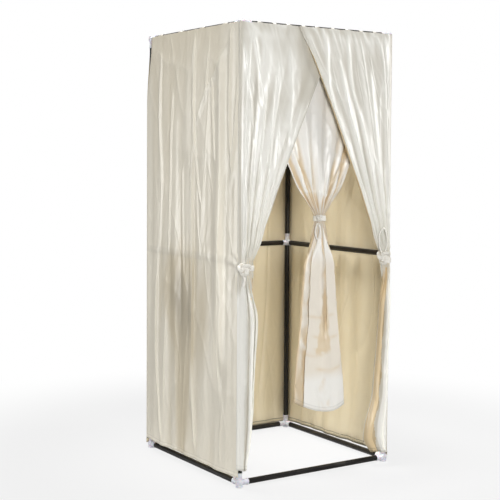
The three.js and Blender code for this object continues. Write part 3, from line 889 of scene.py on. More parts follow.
walls = {
    "left": {
        "start": -0.4167,
        "end": 0.4167,
        "hem": 0.047,
        "rearPull": 0.046,
        "shape": 0.5,
        "seed": 3,
        "creases": [
            ([(1.94, -0.043), (1.65, -0.041), (1.46, -0.047), (1.36, -0.034), (1.13, -0.031), (0.9, -0.037),
              (0.64, -0.036), (0.45, -0.031), (0.26, -0.042), (0.1, -0.057)], 0.0065, 0.0046),
            ([(1.9, -0.027), (1.5, -0.03), (1.2, -0.014), (0.9, -0.02), (0.6, -0.016), (0.3, -0.02)],
             0.005, 0.0028),
            ([(1.92, -0.168), (1.82, -0.155), (1.7, -0.143)], 0.006, 0.002),
            ([(1.93, -0.345), (1.798, -0.229), (1.696, -0.134), (1.577, -0.064)], 0.008, 0.0032),
            ([(1.93, -0.365), (1.8, -0.252), (1.7, -0.16), (1.6, -0.092)], 0.005, 0.0018),
            ([(1.75, -0.193), (1.595, -0.207), (1.506, -0.216), (1.417, -0.224)], 0.006, 0.0034),
            ([(1.93, -0.349), (1.721, -0.345), (1.57, -0.344), (1.374, -0.367)], 0.011, 0.0042),
            ([(1.834, -0.271), (1.593, -0.275), (1.3, -0.28), (1.098, -0.272), (0.965, -0.274),
              (0.834, -0.286), (0.667, -0.28), (0.5, -0.29)], 0.03, 0.0062),
            ([(1.52, -0.051), (1.372, -0.07), (1.295, -0.084), (1.2, -0.116)], 0.006, 0.0026),
            ([(1.271, -0.071), (1.134, -0.081), (1.016, -0.1)], 0.006, 0.0024),
            ([(1.7, 0.158), (1.464, 0.172), (1.289, 0.174), (1.145, 0.178), (1.0, 0.187)], 0.007, 0.003),
            ([(1.361, 0.059), (1.127, 0.053), (0.917, 0.044)], 0.006, 0.0024),
            ([(0.85, 0.302), (0.591, 0.311), (0.419, 0.307), (0.298, 0.289), (0.083, 0.253)], 0.007, 0.0038),
            ([(0.62, 0.213), (0.407, 0.229), (0.24, 0.233)], 0.006, 0.0024),
            ([(0.31, -0.294), (0.173, -0.279), (0.083, -0.281)], 0.008, 0.0024),
            ([(1.781, -0.41), (1.59, -0.392), (1.439, -0.374), (1.331, -0.355)], 0.008, 0.004),
            ([(1.9, 0.27), (1.6, 0.285), (1.3, 0.262), (1.0, 0.28)], 0.012, 0.0024),
        ],
        # Soft patches that paint in the photographed wall's broad light and shade: place, height, width,
        # tallness and tint, over 0 darker and below 0 lighter
        "shades": [
            (0.1, 0.8, 0.12, 0.17, 1.5), (0.05, 0.58, 0.08, 0.2, 0.9), (0.06, 0.25, 0.06, 0.25, 0.7),
            (-0.13, 0.7, 0.05, 0.28, 0.45), (-0.02, 0.74, 0.03, 0.2, 1.2), (-0.36, 1.0, 0.03, 0.5, 0.3),
            (-0.27, 0.98, 0.032, 0.4, -1.5), (-0.23, 0.55, 0.035, 0.16, -1.2),
            (-0.31, 0.8, 0.03, 0.15, -0.9), (0.4, 0.85, 0.035, 0.7, -1.2), (-0.17, 0.3, 0.03, 0.12, -0.6),
        ],
        "pale": 0.3,
        "calm": 0.75,
        "knot": (-0.425, 0.945),
    },
    "back": {
        "start": -0.4185,
        "end": 0.4185,
        "hem": 0.021,
        "frontPull": 0.016,
        "seed": 11,
        "creases": [
            ([(1.9, -0.25), (1.2, -0.235), (0.7, -0.262)], 0.008, 0.0024),
            ([(1.7, 0.05), (1.3, 0.066), (0.75, 0.05)], 0.007, 0.002),
            ([(1.1, 0.3), (0.6, 0.285), (0.2, 0.25)], 0.009, 0.0026),
        ],
    },
    "right": {
        "start": -0.416,
        "end": 0.4167,
        "hem": 0.029,
        "round": 0.0182,
        "seed": 23,
        "creases": [
            ([(1.9, 0.1), (1.4, 0.13), (0.9, 0.11)], 0.008, 0.0024),
            ([(0.8, -0.1), (0.45, 0.02), (0.15, 0.13)], 0.012, 0.0028),
            ([(0.7, 0.2), (0.4, 0.25), (0.1, 0.31)], 0.01, 0.0024),
            ([(1.5, -0.28), (1.1, -0.27), (0.7, -0.29)], 0.008, 0.002),
        ],
    },
}


def addWall(side):
    wall = wallCloth | walls[side]
    rowPlaces = [*topRows, *np.linspace(0.0035, 0.985, wall["rows"]), 0.989, 0.993, 0.9965, 1.0]
    across, below = np.meshgrid(np.linspace(0, 1, wall["columns"]), rowPlaces)
    height = cloth["top"] + (wall["hem"] - cloth["top"]) * below
    pulled = 1 - smooth(0, wall["pullHeight"], cloth["top"] - height)
    start = wall["start"] + wall["frontPull"] * pulled
    along = start + (wall["end"] - wall["rearPull"] * pulled - start) * across
    nearEnds, atEdge = (smooth(0, wall[key], fromEdges(across)) for key in ("endBlend", "edgeBlend"))
    opened = np.minimum(1, below / wall["opening"])
    calm = 1 - wall["calm"] * smooth(*wall["calmUp"], height) * smooth(*wall["calmAlong"], along)
    hung = calm * opened * nearEnds
    fold = wall["shape"] * wall["foldDepth"] * hung * (1 - foldWave(wall["folds"], across)) / 2
    parts = {
        "hung": (hung, along),
        "fine": (atEdge * (0.3 + 0.7 * opened), along),
        "all": (atEdge, along),
        "hem": (atEdge * bell(height - wall["hem"] - wall["hemLine"][0], wall["hemLine"][1]), along),
    }
    fold += rippled(wall["ripples"], parts, height, wall["seed"])
    fold += wall["creaseGain"] * atEdge * creased(along, height, wall["creases"])
    # The cloth marks where it lies on the middle rail, and its hem is a little uneven
    rise, width = wall["railMark"]
    fold += rise * atEdge * bell(height - railHeights["mid"], width)
    fold += wall["hemRise"] * (height < wall["hem"] + cloth["bands"]["bottom"])
    # It hangs clear of the bottom connectors
    fold += wall["footRise"] * smooth(*wall["footFrom"], height)
    if wall["knot"]:
        rise, width = wall["knotRise"]
        near = smooth(0.0, 0.012, along - wall["start"])
        near = near * bell(np.hypot(along - wall["knot"][0], height - wall["knot"][1]), width)
        fold += near * (rise + puckered(along, height, wall["knot"], *wall["pucker"]))
    out = cloth["standOff"] + np.maximum(fold, -0.0004)
    height = height - sagged(along, height, [share * half for share in wall["loops"]])
    height = height + below**6 * wall["hemWander"] * softNoise(along, height * 0, 0.12, 1, wall["seed"] + 3)
    outward, run = sides[side]
    points = beside(side, along, out, height)
    if wall["round"]:
        # It goes round the corner post
        angle = np.maximum(0, -half - along) / wall["round"]
        bent = outward * (half + out * np.cos(angle))[..., None]
        bent = bent - run * (half + out * np.sin(angle))[..., None] + zAxis * height[..., None]
        points = np.where((along < -half)[..., None], bent, points)
    flat = np.stack([along - along[0, 0], height], -1)
    # Painted shade in the field: darker the deeper the cloth lies in a fold, paler towards the front end
    # where pale is set (painted light), plus the listed patches of light and shade
    depth = np.clip(0.85 - fold / wall["shadeDepth"], 0, 1)
    depth = wall["evenTint"] + (depth - wall["evenTint"]) * wall["foldTint"]
    depth = depth - wall["pale"] * smooth(*wall["paleFrom"], along)
    for place, level, wide, tall, tint in wall["shades"]:
        depth += tint * bell(along - place, wide) * bell(height - level, tall)
    depth = np.clip(depth, -1, 2.2)
    name, hems = f"{side}_wall", ("bottom",)
    sheet = hangCloth(f"{name}_cloth", points, flat, depth, outward, "wall satin", "wall lining", hems)
    claim(sheet, name)
    loops = addLoops(f"{name}_loops", side, wall["loops"], "frame", cloth["standOff"] - cloth["thick"])
    seams = sewSeams(f"{name}_stitches", seamsOf(points, flat, outward, hems))
    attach(seams, "frame")
    size = (wall["end"] - wall["start"], cloth["top"] - wall["hem"])


for side in walls:
    addWall(side)
print("walls hung")


# Curtains: each is one cloth from the rail through its tie to its tail

def draped(piece, columnPlaces):
    # A grid over the cloth, with how far it is drawn to the tie, how far below it and how far spread there
    rowShares = [*topRows, *np.linspace(0.004, 1, piece["rows"])]
    drop = [(0, cloth["top"]), *piece["drop"], (1, piece["hem"])]
    across, height = np.meshgrid(columnPlaces, np.interp(rowShares, *zip(*drop)))
    drawn = np.clip((cloth["top"] - height) / (cloth["top"] - piece["tieTop"]), 0, 1)
    below = np.clip((piece["tieBottom"] - height) / (piece["tieBottom"] - piece["hem"]), 0, 1)
    return across, height, drawn, below, smooth(0, cloth["spreading"], below)


def gathersOf(piece, across, height, drawn, below):
    # The depth of the folds, and the wave that they follow above the tie
    gathered = drawn ** cloth["gathering"]
    depth = piece["topDepth"] * np.minimum(1, drawn / 0.25) * (1 - gathered) + piece["tieDepth"] * gathered
    depth = depth + (piece["tailDepth"] - piece["tieDepth"]) * below
    share = 0.5 * smooth(*piece["pleatFrom"], drawn)
    wander, tall = piece["wander"]
    wander = wander * softNoise(across, height, 0.3, tall, piece["seed"] + 5)
    pleat = np.cos(2 * np.pi * piece["pleats"] * across + wander + piece["phase"])
    return depth, foldWave(piece["folds"], across) * (1 - share) + pleat * share


def swellOf(across, gathered, edges=1):
    # Gathered cloth fills an oval
    return edges * (1 - gathered) + np.sqrt(1 - (0.97 * (2 * across - 1)) ** 2) * gathered


def slipped(piece, across, height):
    # The folds below the tie wander a little
    slip, wide, tall = piece["slip"]
    return across + slip * softNoise(across, height, wide, tall, piece["seed"] + 8)


def tucksOf(count, depth, across):
    return depth * (1 - np.cos(2 * np.pi * count * across))


def flatMap(points, height):
    steps = np.linalg.norm(np.diff(points, axis=1, prepend=points[:, :1]), axis=2)
    return np.stack([np.cumsum(steps, 1), height], -1)


def hangCurtain(name, piece, points, flat, fold, nodes, middle, loopPlaces, sewnOut):
    # The loops follow the body that carries the curtain; the sheet and its stitches stay where they are hung
    finish, hems = piece["finish"], piece["hems"]
    sheet = hangCloth(f"{name}_cloth", points, flat, fold, -yAxis, finish, "flap lining", hems)
    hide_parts(*nodes)
    loops = addLoops(f"{name}_loops", "front", loopPlaces, piece["carrier"], sewnOut)
    seams = sewSeams(f"{name}_stitches", seamsOf(points, flat, -yAxis, hems))
    start, end = (list(roomMiddle + middle + zAxis * level) for level in piece["bend"])
    for part in (sheet, seams):
        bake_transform(part)
    size = (piece["flatWidth"], cloth["top"] - piece["hem"])
    # The curtains are cut narrower towards the hem
    area = (size[0] + piece["hemWidth"]) / 2 * size[1]
    print(f"{name}: {areaOf(points):.3f} square metres from {area:.3f}")
    return sheet


# Front flaps

flapCloth = {
    "carrier": "frame",
    "finish": "flap satin",
    "hems": ("bottom", "last"),
    "rows": 210,
    "columns": 170,
    "edgeColumns": 14,
    "turnColumns": 9,
    "drop": [(0.4, 1.2), (0.56, 1.0), (0.66, 0.92), (0.78, 0.75)],
    "tieTop": cloth["tieTop"],
    "tieBottom": cloth["tieBottom"],
    "topDepth": 0.002,
    "tieDepth": 0.0265,
    "tailDepth": 0.028,
    "tailWay": [(0, 0.0), (0.13, 0.34), (0.17, 0.43), (0.2, 0.45), (0.23, 0.38), (0.26, 0.34), (0.29, 0.4),
                (0.4, 0.78), (0.43, 0.83), (0.46, 0.78), (0.49, 0.75), (0.52, 0.82), (0.6, 1.0), (0.68, 0.97),
                (0.84, 0.6), (1, 0.22)],
    "tucks": (24, 0.24),
    "tucked": ((0.62, 0.7), (1, 0.97)),
    "slip": (0.012, 0.2, 0.3),
    "shown": (0.6, 0.66),
    "crumpled": (0.6, 0.55),
    "fanWidth": 0.52,
    "curled": (0.985, 0.999),
    "curledDown": ((0.02, 0.15), (0.97, 0.75)),
    "lapped": (0.25, 0.6),
    "folds": 5,
    "pleats": 13,
    "pleatFrom": (0.45, 0.95),
    "wander": (0.6, 0.25),
    # Which part, rise, slant, size across, size down, seed step and kind, as in rippled
    "ripples": [
        ("tail", 0.0035, 0, 0.014, 0.16, 9, "waves"),
        ("tail", 0.0028, 0.12, 0.022, 0.1, 10, 8),
        ("tail", 0.0015, -0.5, 0.012, 0.035, 11, "waves"),
        ("drawn", 0.0036, 0, 0.052, 0.8, 0, "swells"),
        ("crests", 0.0028, 0, 0.075, 0.7, 3, 9),
        ("fine", 0.0012, 0, 0.02, 0.25, 1, "swells"),
        ("all", 0.0014, 0.3, 0.045, 0.16, 4, 11),
        ("all", 0.0005, 0.4, 0.012, 0.05, 2, "swells"),
    ],
    "creaseGain": 1.4,
    "pucker": (11, 0.07, 0.003, 1.0),
    "hemWander": 0.006,
    "shadedStrip": None,
    "flatWidth": 0.53,
    "hemWidth": 0.36,
    "bend": (0.944, 0.902),
}
flaps = {
    "left": {
        "sign": -1,
        "under": ((0.15, 0.1), (1.6, 1.7)),
        # How far out the post's edge and the free edge lie, down the cloth
        "post": [
            (1.993, 0.4141), (1.15, 0.4141), (1.0, 0.4125), (0.95, 0.4115), (0.88, 0.413), (0.72, 0.4141),
        ],
        "free": [
            (1.993, -0.104), (1.78, 0.001), (1.57, 0.097), (1.37, 0.1864), (1.25, 0.238), (1.173, 0.269),
            (1.123, 0.291), (1.077, 0.306), (1.045, 0.3175), (1.003, 0.342), (0.975, 0.3565), (0.937, 0.3575),
            (0.891, 0.352), (0.832, 0.347), (0.767, 0.334), (0.68, 0.331), (0.595, 0.338), (0.466, 0.347),
            (0.293, 0.356), (0.208, 0.368), (0.145, 0.38), (0.084, 0.391),
        ],
        "hem": 0.084,
        # Painted light and shade across the tail, by how far across it lies: below 0 lighter, over 0 darker
        "tailShading": [(0, -1.0), (0.06, -0.9), (0.15, 0.2), (0.42, 0.25), (0.52, -0.8), (0.9, -0.8), (1, -1.1)],
        "turnPoint": (0.4201, -0.0185),
        "turnEnd": (0.4201, -0.006),
        "lift": 0.0,
        "curl": 0.0015,
        "tailFolds": [
            (0, 0.1), (0.04, 0.5), (0.09, 0.98), (0.14, 0.85), (0.2, 0.08), (0.23, 0.4), (0.26, 0.9),
            (0.32, 1.05), (0.38, 0.7), (0.43, 0.15), (0.46, 0.5), (0.49, 0.85), (0.54, 0.75), (0.6, 0.4),
            (0.66, 0.15), (0.72, 0.0), (1, 0.0),
        ],
        "seed": 31,
        "phase": 31,
        "knot": (-0.425, 0.945),
        "creases": [
            ([(1.93, -0.35), (1.78, -0.323), (1.621, -0.306), (1.387, -0.317), (1.227, -0.322),
              (1.068, -0.366)], 0.009, 0.0042),
            ([(1.93, -0.408), (1.787, -0.392), (1.651, -0.37), (1.5, -0.352)], 0.006, 0.0022),
            ([(1.88, -0.166), (1.712, -0.158), (1.529, -0.165), (1.431, -0.155)], 0.011, 0.0028),
            ([(1.56, -0.225), (1.388, -0.24), (1.237, -0.264), (1.067, -0.327)], 0.009, 0.0038),
            ([(1.8, -0.23), (1.5, -0.262), (1.25, -0.285), (1.05, -0.345)], 0.007, 0.0026),
            ([(1.3, -0.395), (1.15, -0.398), (1.0, -0.402)], 0.007, 0.0035),
            ([(0.9, -0.395), (0.7, -0.4), (0.45, -0.398), (0.2, -0.404)], 0.006, 0.003),
            ([(0.886, -0.364), (0.715, -0.378), (0.424, -0.374), (0.16, -0.392)], 0.007, 0.0032),
        ],
        "loops": (0.8, 0.42, 0.04),
    },
    "right": {
        "sign": 1,
        "post": [
            (1.993, 0.404), (1.1, 0.403), (1.0, 0.401), (0.95, 0.4), (0.88, 0.399), (0.7, 0.3985),
            (0.06, 0.3985),
        ],
        "free": [
            (1.993, -0.118), (1.78, -0.0103), (1.57, 0.0898), (1.367, 0.179), (1.302, 0.208), (1.184, 0.256),
            (1.123, 0.284), (1.059, 0.305), (1.013, 0.327), (0.972, 0.3445), (0.937, 0.3455), (0.683, 0.3395),
            (0.447, 0.3185), (0.316, 0.3035), (0.18, 0.262), (0.13, 0.259), (0.062, 0.305),
        ],
        "hem": 0.062,
        # Painted light and shade across the tail, by how far across it lies: below 0 lighter, over 0 darker
        "tailShading": [(0, -0.8), (0.35, -0.9), (0.5, -0.2), (0.6, 0.7), (0.8, 0.0), (1, 0.5)],
        # Where the tail's outer face takes the tan lining finish, as painted shade
        "shadedStrip": (0.36, 0.6),
        "turnPoint": (0.414, -0.016),
        "turnEnd": (0.4203, 0.005),
        "lift": 0.0036,
        "curl": 0.014,
        "tailFolds": [
            (0, 0.1), (0.04, 0.5), (0.09, 1.0), (0.15, 0.65), (0.2, 0.06), (0.23, 0.35), (0.26, 0.8),
            (0.32, 1.05), (0.38, 0.62), (0.43, 0.1), (0.46, 0.42), (0.49, 0.75), (0.54, 0.65), (0.6, 0.35),
            (0.66, 0.15), (0.72, 0.0), (1, 0.0),
        ],
        "seed": 47,
        "phase": 47,
        "knot": (0.347, 0.965),
        "creases": [
            ([(1.93, 0.029), (1.721, 0.045), (1.556, 0.11), (1.333, 0.213), (1.126, 0.311)], 0.010, 0.0042),
            ([(1.93, 0.148), (1.726, 0.172), (1.593, 0.224), (1.435, 0.27), (1.16, 0.333)], 0.009, 0.0044),
            ([(1.95, 0.365), (1.792, 0.379), (1.65, 0.385)], 0.006, 0.0034),
            ([(1.926, 0.343), (1.813, 0.36), (1.7, 0.368)], 0.006, 0.0026),
            ([(1.435, 0.299), (1.275, 0.354), (1.136, 0.371)], 0.008, 0.0038),
            ([(1.85, 0.1), (1.65, 0.15), (1.4, 0.235), (1.2, 0.30)], 0.007, 0.0028),
            ([(1.8, 0.28), (1.5, 0.315), (1.2, 0.352)], 0.01, 0.0028),
            ([(0.88, 0.372), (0.6, 0.368), (0.3, 0.36), (0.12, 0.34)], 0.009, 0.0045),
            ([(0.8, 0.388), (0.5, 0.386), (0.2, 0.372)], 0.006, 0.003),
        ],
        "loops": (0.38, 0.78),
    },
}


def addFlap(name):
    flap = flapCloth | flaps[name]
    sign, seed, added = (flap[key] for key in ("sign", "seed", "turnColumns"))
    columns = flap["columns"] - flap["edgeColumns"]
    columnPlaces = [*np.linspace(0, 0.97, columns), *np.linspace(0.972, 1, flap["edgeColumns"])]
    across, height, drawn, below, spread = draped(flap, columnPlaces)
    gathered = drawn ** cloth["gathering"]
    depth, wave = gathersOf(flap, across, height, drawn, below)
    swell = swellOf(across, gathered, smooth(0, 0.2, fromEdges(across)))
    # Below the tie the cloth shows a few round folds, and the rest of it is folded in behind them
    front = through(flap["tailFolds"], slipped(flap, across, height))
    tuck = window(*flap["tucked"], across) * tucksOf(*flap["tucks"], across)
    fold = depth * ((1 - swell * wave) / 2 * (1 - spread) + (front + tuck) * spread)
    way = across * (1 - spread) + through(flap["tailWay"], across) * spread
    postEdge, freeEdge = through(flap["post"], height), through(flap["free"], height)
    x = sign * (postEdge + (freeEdge - postEdge) * way)
    own = smooth(0, 0.05, fromEdges(across)) * (1 - spread * smooth(*flap["shown"], across))
    if sign < 0:
        # The other flap laps over this one
        own = own * (1 - smooth(*flap["under"][0], np.abs(x)) * smooth(*flap["under"][1], height))
    loose = own * (1 - 0.7 * gathered * (1 - spread))
    # The fan of the drawn cloth is measured along its rail, so that its creases run down to the tie
    fan = across * flap["fanWidth"]
    parts = {
        "tail": (own * spread * smooth(*flap["crumpled"], across), x),
        "drawn": (loose * smooth(0, 0.2, drawn), fan),
        "crests": (loose * smooth(0, 0.1, drawn), fan),
        "fine": (own * (0.4 + 0.6 * drawn), fan),
        "all": (own, x),
    }
    fold = fold + rippled(flap["ripples"], parts, height, seed)
    fold = fold + own * flap["creaseGain"] * creased(x, height, flap["creases"])
    fold = fold + own * puckered(x, height, flap["knot"], *flap["pucker"])
    # The free edge curls outwards a little and shows the lining
    curled = smooth(*flap["curled"], across) * window(*flap["curledDown"], drawn)
    fold = fold + flap["curl"] * curled
    x = x + sign * 0.3 * flap["curl"] * curled
    lap = flap["lift"] * smooth(*flap["lapped"], across) * (1 - gathered)
    loopPlaces = [sign * share for share in flap["loops"]]
    heights = zAxis * height[:, :1]
    height = height - sagged(x, height, [place * half for place in loopPlaces])
    points = beside("front", x, cloth["standOff"] + lap + np.maximum(fold, 0), height)

    # Its post edge turns round the corner of the frame
    edge = points[:, 0]
    corner, end = (
        np.array([sign * flap[key][0], -half + flap[key][1], 0]) + heights for key in ("turnPoint", "turnEnd")
    )
    turn = [
        edge * (1 - t) ** 2 + corner * 2 * t * (1 - t) + end * t * t
        for t in np.linspace(1, 0, added, endpoint=False)
    ]
    points = np.concatenate([np.stack(turn, 1), points], 1)
    fold, height, below = (
        np.concatenate([np.repeat(grid[:, :1], added, 1), grid], 1) for grid in (fold, height, below)
    )
    flat = flatMap(points, height)
    # The hem rises and falls a little
    wander = softNoise(points[..., 0], points[..., 2] * 0, 0.03, 1, seed + 7)
    points[..., 2] += below**8 * flap["hemWander"] * wander
    # Painted shade in the field: darker in the hollows of the folds, lighter or darker across the tail by the
    # listed painted light and shade, and darker where the cloth turns round the post above the tie
    shade = np.clip(1 - fold / np.maximum(fold.max(1, keepdims=True), 0.004), 0, 1)
    shade[:, added:] = shade[:, added:] * 0.9 + spread * through(flap["tailShading"], way)
    shade[:, :added] = 1.2 - 1.4 * spread[:, :added]
    shade = np.clip(shade, -1, 1.2)
    sheet = hangCurtain(
        f"{name}_flap", flap, points, flat, shade, (f"{name}_flap", f"{name}_tail"),
        np.array([sign * 0.38, -half - 0.031, 0]), loopPlaces,
        cloth["standOff"] - cloth["thick"] + flap["lift"] * 0.2,
    )
    if flap["shadedStrip"]:
        # Painted shade: part of the tail's free side takes the tan lining finish on its outer face
        low, high = flap["shadedStrip"]
        ragged = 0.02 * softNoise(height[:, added:], across * 0, 0.07, 1, seed + 12)
        shown = np.zeros(fold.shape, np.int32)
        shown[:, added:] = (across > low + ragged) & (across < high) & (below[:, added:] > 0.02)
        sheet.data.polygons.foreach_set("material_index", shown[:-1, :-1].ravel())


for name in flaps:
    addFlap(name)
print("flaps hung and tied back")


# Centre curtain

curtain = {
    "carrier": "inner_curtain",
    "finish": "curtain satin",
    "hems": ("bottom", "first", "last"),
    "rows": 210,
    "columns": 190,
    "drop": [(0.38, 1.33), (0.56, 1.16), (0.68, 1.03)],
    "offset": 0.037,
    "drift": 0.009,
    "halfWidth": [
        (1.993, 0.36), (1.66, 0.2736), (1.37, 0.162), (1.278, 0.1152), (1.212, 0.0612), (1.162, 0.029),
        (1.138, 0.029), (1.05, 0.058), (0.825, 0.0897), (0.64, 0.105), (0.41, 0.13), (0.267, 0.138),
    ],
    "tieTop": 1.162,
    "tieBottom": 1.138,
    "hem": 0.267,
    "hemRise": [(0, 0.06), (0.25, 0.027), (0.5, 0.006), (0.68, 0.0), (0.85, 0.007), (1, 0.027)],
    "stand": 0.0158,
    "folds": 6,
    "pleats": 15,
    "pleatFrom": (0.7, 0.97),
    "phase": 0,
    "wander": (0.7, 0.2),
    "tailWay": [
        (0, -0.4), (0.1, -0.72), (0.17, -0.96), (0.21, -1.0), (0.335, -0.6), (0.36, -0.55),
        (0.385, -0.6), (0.41, -0.66), (0.44, -0.62), (0.52, -0.05), (0.57, 0.34), (0.595, 0.43),
        (0.62, 0.38), (0.645, 0.35), (0.67, 0.4), (0.73, 0.76), (0.79, 1.0), (0.83, 0.97), (0.9, 0.72),
        (1, 0.4),
    ],
    "lowWay": [
        (0, -0.4), (0.1, -0.72), (0.17, -0.96), (0.21, -1.0), (0.335, -0.6), (0.36, -0.55),
        (0.385, -0.6), (0.41, -0.68), (0.44, -0.66), (0.52, -0.2), (0.6, 0.2), (0.67, 0.5),
        (0.73, 0.78), (0.79, 1.0), (0.83, 0.97), (0.9, 0.72), (1, 0.4),
    ],
    "lowFolds": [
        (0, 1.0), (0.17, 1.0), (0.2, 0.8), (0.235, 0.5), (0.29, 0.42), (0.335, 0.62), (0.36, 0.85),
        (0.385, 0.55), (0.41, 0.25), (0.44, 0.04), (0.47, -0.03), (0.5, 0.0), (0.56, 0.14),
        (0.62, 0.16), (0.67, 0.08), (0.73, 0.12), (0.78, 0.36), (0.82, 0.75), (0.85, 1.0), (1, 1.0),
    ],
    "patch": [(0.549, 0.020, 0.096), (0.70, 0.048, 0.083), (0.835, 0.066, 0.070)],
    "tailFolds": [
        (0, 1.0), (0.17, 1.0), (0.2, 0.8), (0.235, 0.46), (0.29, 0.4), (0.335, 0.6), (0.36, 0.85),
        (0.385, 0.55), (0.41, 0.3), (0.44, 0.12), (0.47, 0.08), (0.5, 0.16), (0.56, 0.5),
        (0.595, 0.66), (0.62, 0.45), (0.645, 0.22), (0.67, 0.1), (0.72, 0.08), (0.78, 0.36),
        (0.82, 0.75), (0.85, 1.0), (1, 1.0),
    ],
    "tucks": (26, 0.25),
    "tucked": [((0.0, 0.03), (0.2, 0.16)), ((0.82, 0.86), (1.0, 0.97))],
    "slip": (0.01, 0.25, 0.3),
    "loosened": (0.5, 0.66),
    "crumpled": ((0.2, 0.24), (0.8, 0.77)),
    "held": (1.15, 0.05),
    "leastFold": 0.002,
    "shadeDepth": 0.016,
    # Painted shade: over the tail and along its cross creases, less towards the hem; a tan patch in the
    # tail's middle; less fold shade in the plain middle above the tie
    "wearAndShade": (0.54, 70),
    "shadeDown": (0.47, 0.36),
    "plainDown": (1.2, 1.28),
    "plain": (0.53, 0.15),
    # Strength and heights of the painted tan shade patch
    "shadePatch": 0.3,
    "shadePatchDown": ((0.536, 0.556), (0.88, 0.8)),
    "ragged": 0.006,
    "grooves": [
        ([(1.46, -0.15), (1.399, -0.133), (1.288, -0.064), (1.2, -0.008)], 0.010, 0.010),
        ([(1.5, -0.125), (1.432, -0.102), (1.333, -0.040), (1.2, 0.018)], 0.008, 0.009),
        ([(1.52, 0.185), (1.434, 0.164), (1.287, 0.102), (1.2, 0.062)], 0.010, 0.012),
        ([(1.42, 0.206), (1.378, 0.192), (1.276, 0.145), (1.2, 0.09)], 0.008, 0.009),
        ([(1.38, 0.105), (1.28, 0.075), (1.2, 0.052)], 0.009, 0.006),
    ],
    "topDepth": 0.006,
    "tieDepth": 0.025,
    "tailDepth": 0.03,
    "seed": 61,
    # Which part, rise, slant, size across, size down, seed step and kind, as in rippled
    "ripples": [
        ("all", 0.002, 0, 0.045, 0.3, 0, "waves"),
        ("all", 0.0012, 0, 0.016, 0.12, 1, "waves"),
        ("all", 0.0036, 0.5, 0.09, 0.12, 2, 9),
        ("all", 0.0018, -0.7, 0.04, 0.06, 3, 9),
        ("tail", 0.004, 0, 0.035, 0.28, 9, "waves"),
        ("tail", 0.0035, 0.25, 0.05, 0.16, 10, 8),
        ("tail", 0.0024, -0.6, 0.03, 0.05, 11, "waves"),
    ],
    "creases": [
        ([(1.52, 0.03), (1.4, 0.02), (1.25, 0.034)], 0.008, 0.003),
        ([(1.5, 0.08), (1.35, 0.062), (1.22, 0.048)], 0.007, 0.003),
        ([(1.05, 0.02), (0.9, 0.03), (0.7, 0.045)], 0.008, 0.004),
        ([(0.95, 0.075), (0.8, 0.085), (0.6, 0.10), (0.4, 0.11)], 0.008, 0.004),
        ([(0.75, -0.03), (0.55, -0.02), (0.36, 0.0)], 0.01, 0.004),
    ],
    "crossCreases": [
        ([(-0.03, 0.715), (0.04, 0.7), (0.11, 0.712)], 0.006, 0.0022),
        ([(0.0, 0.62), (0.07, 0.6), (0.13, 0.615)], 0.006, 0.0026),
        ([(-0.05, 0.545), (0.03, 0.53), (0.09, 0.542)], 0.006, 0.0022),
        ([(0.02, 0.47), (0.1, 0.455), (0.15, 0.47)], 0.007, 0.0024),
        ([(-0.02, 1.66), (0.05, 1.63), (0.12, 1.66)], 0.007, 0.0016),
        ([(-0.03, 1.55), (0.04, 1.57), (0.1, 1.54)], 0.007, 0.0018),
        ([(-0.01, 1.49), (0.05, 1.475), (0.12, 1.5)], 0.006, 0.0024),
        ([(0.03, 1.43), (0.09, 1.45), (0.14, 1.43)], 0.005, 0.0022),
        ([(0.0, 0.558), (0.05, 0.552), (0.095, 0.556)], 0.005, 0.003),
        ([(-0.02, 0.345), (0.05, 0.33), (0.12, 0.345)], 0.008, 0.0024),
    ],
    "loops": (-0.6, -0.22, 0.18, 0.58),
    "flatWidth": 0.72,
    "hemWidth": 0.46,
    "bend": (1.148, 1.108),
}


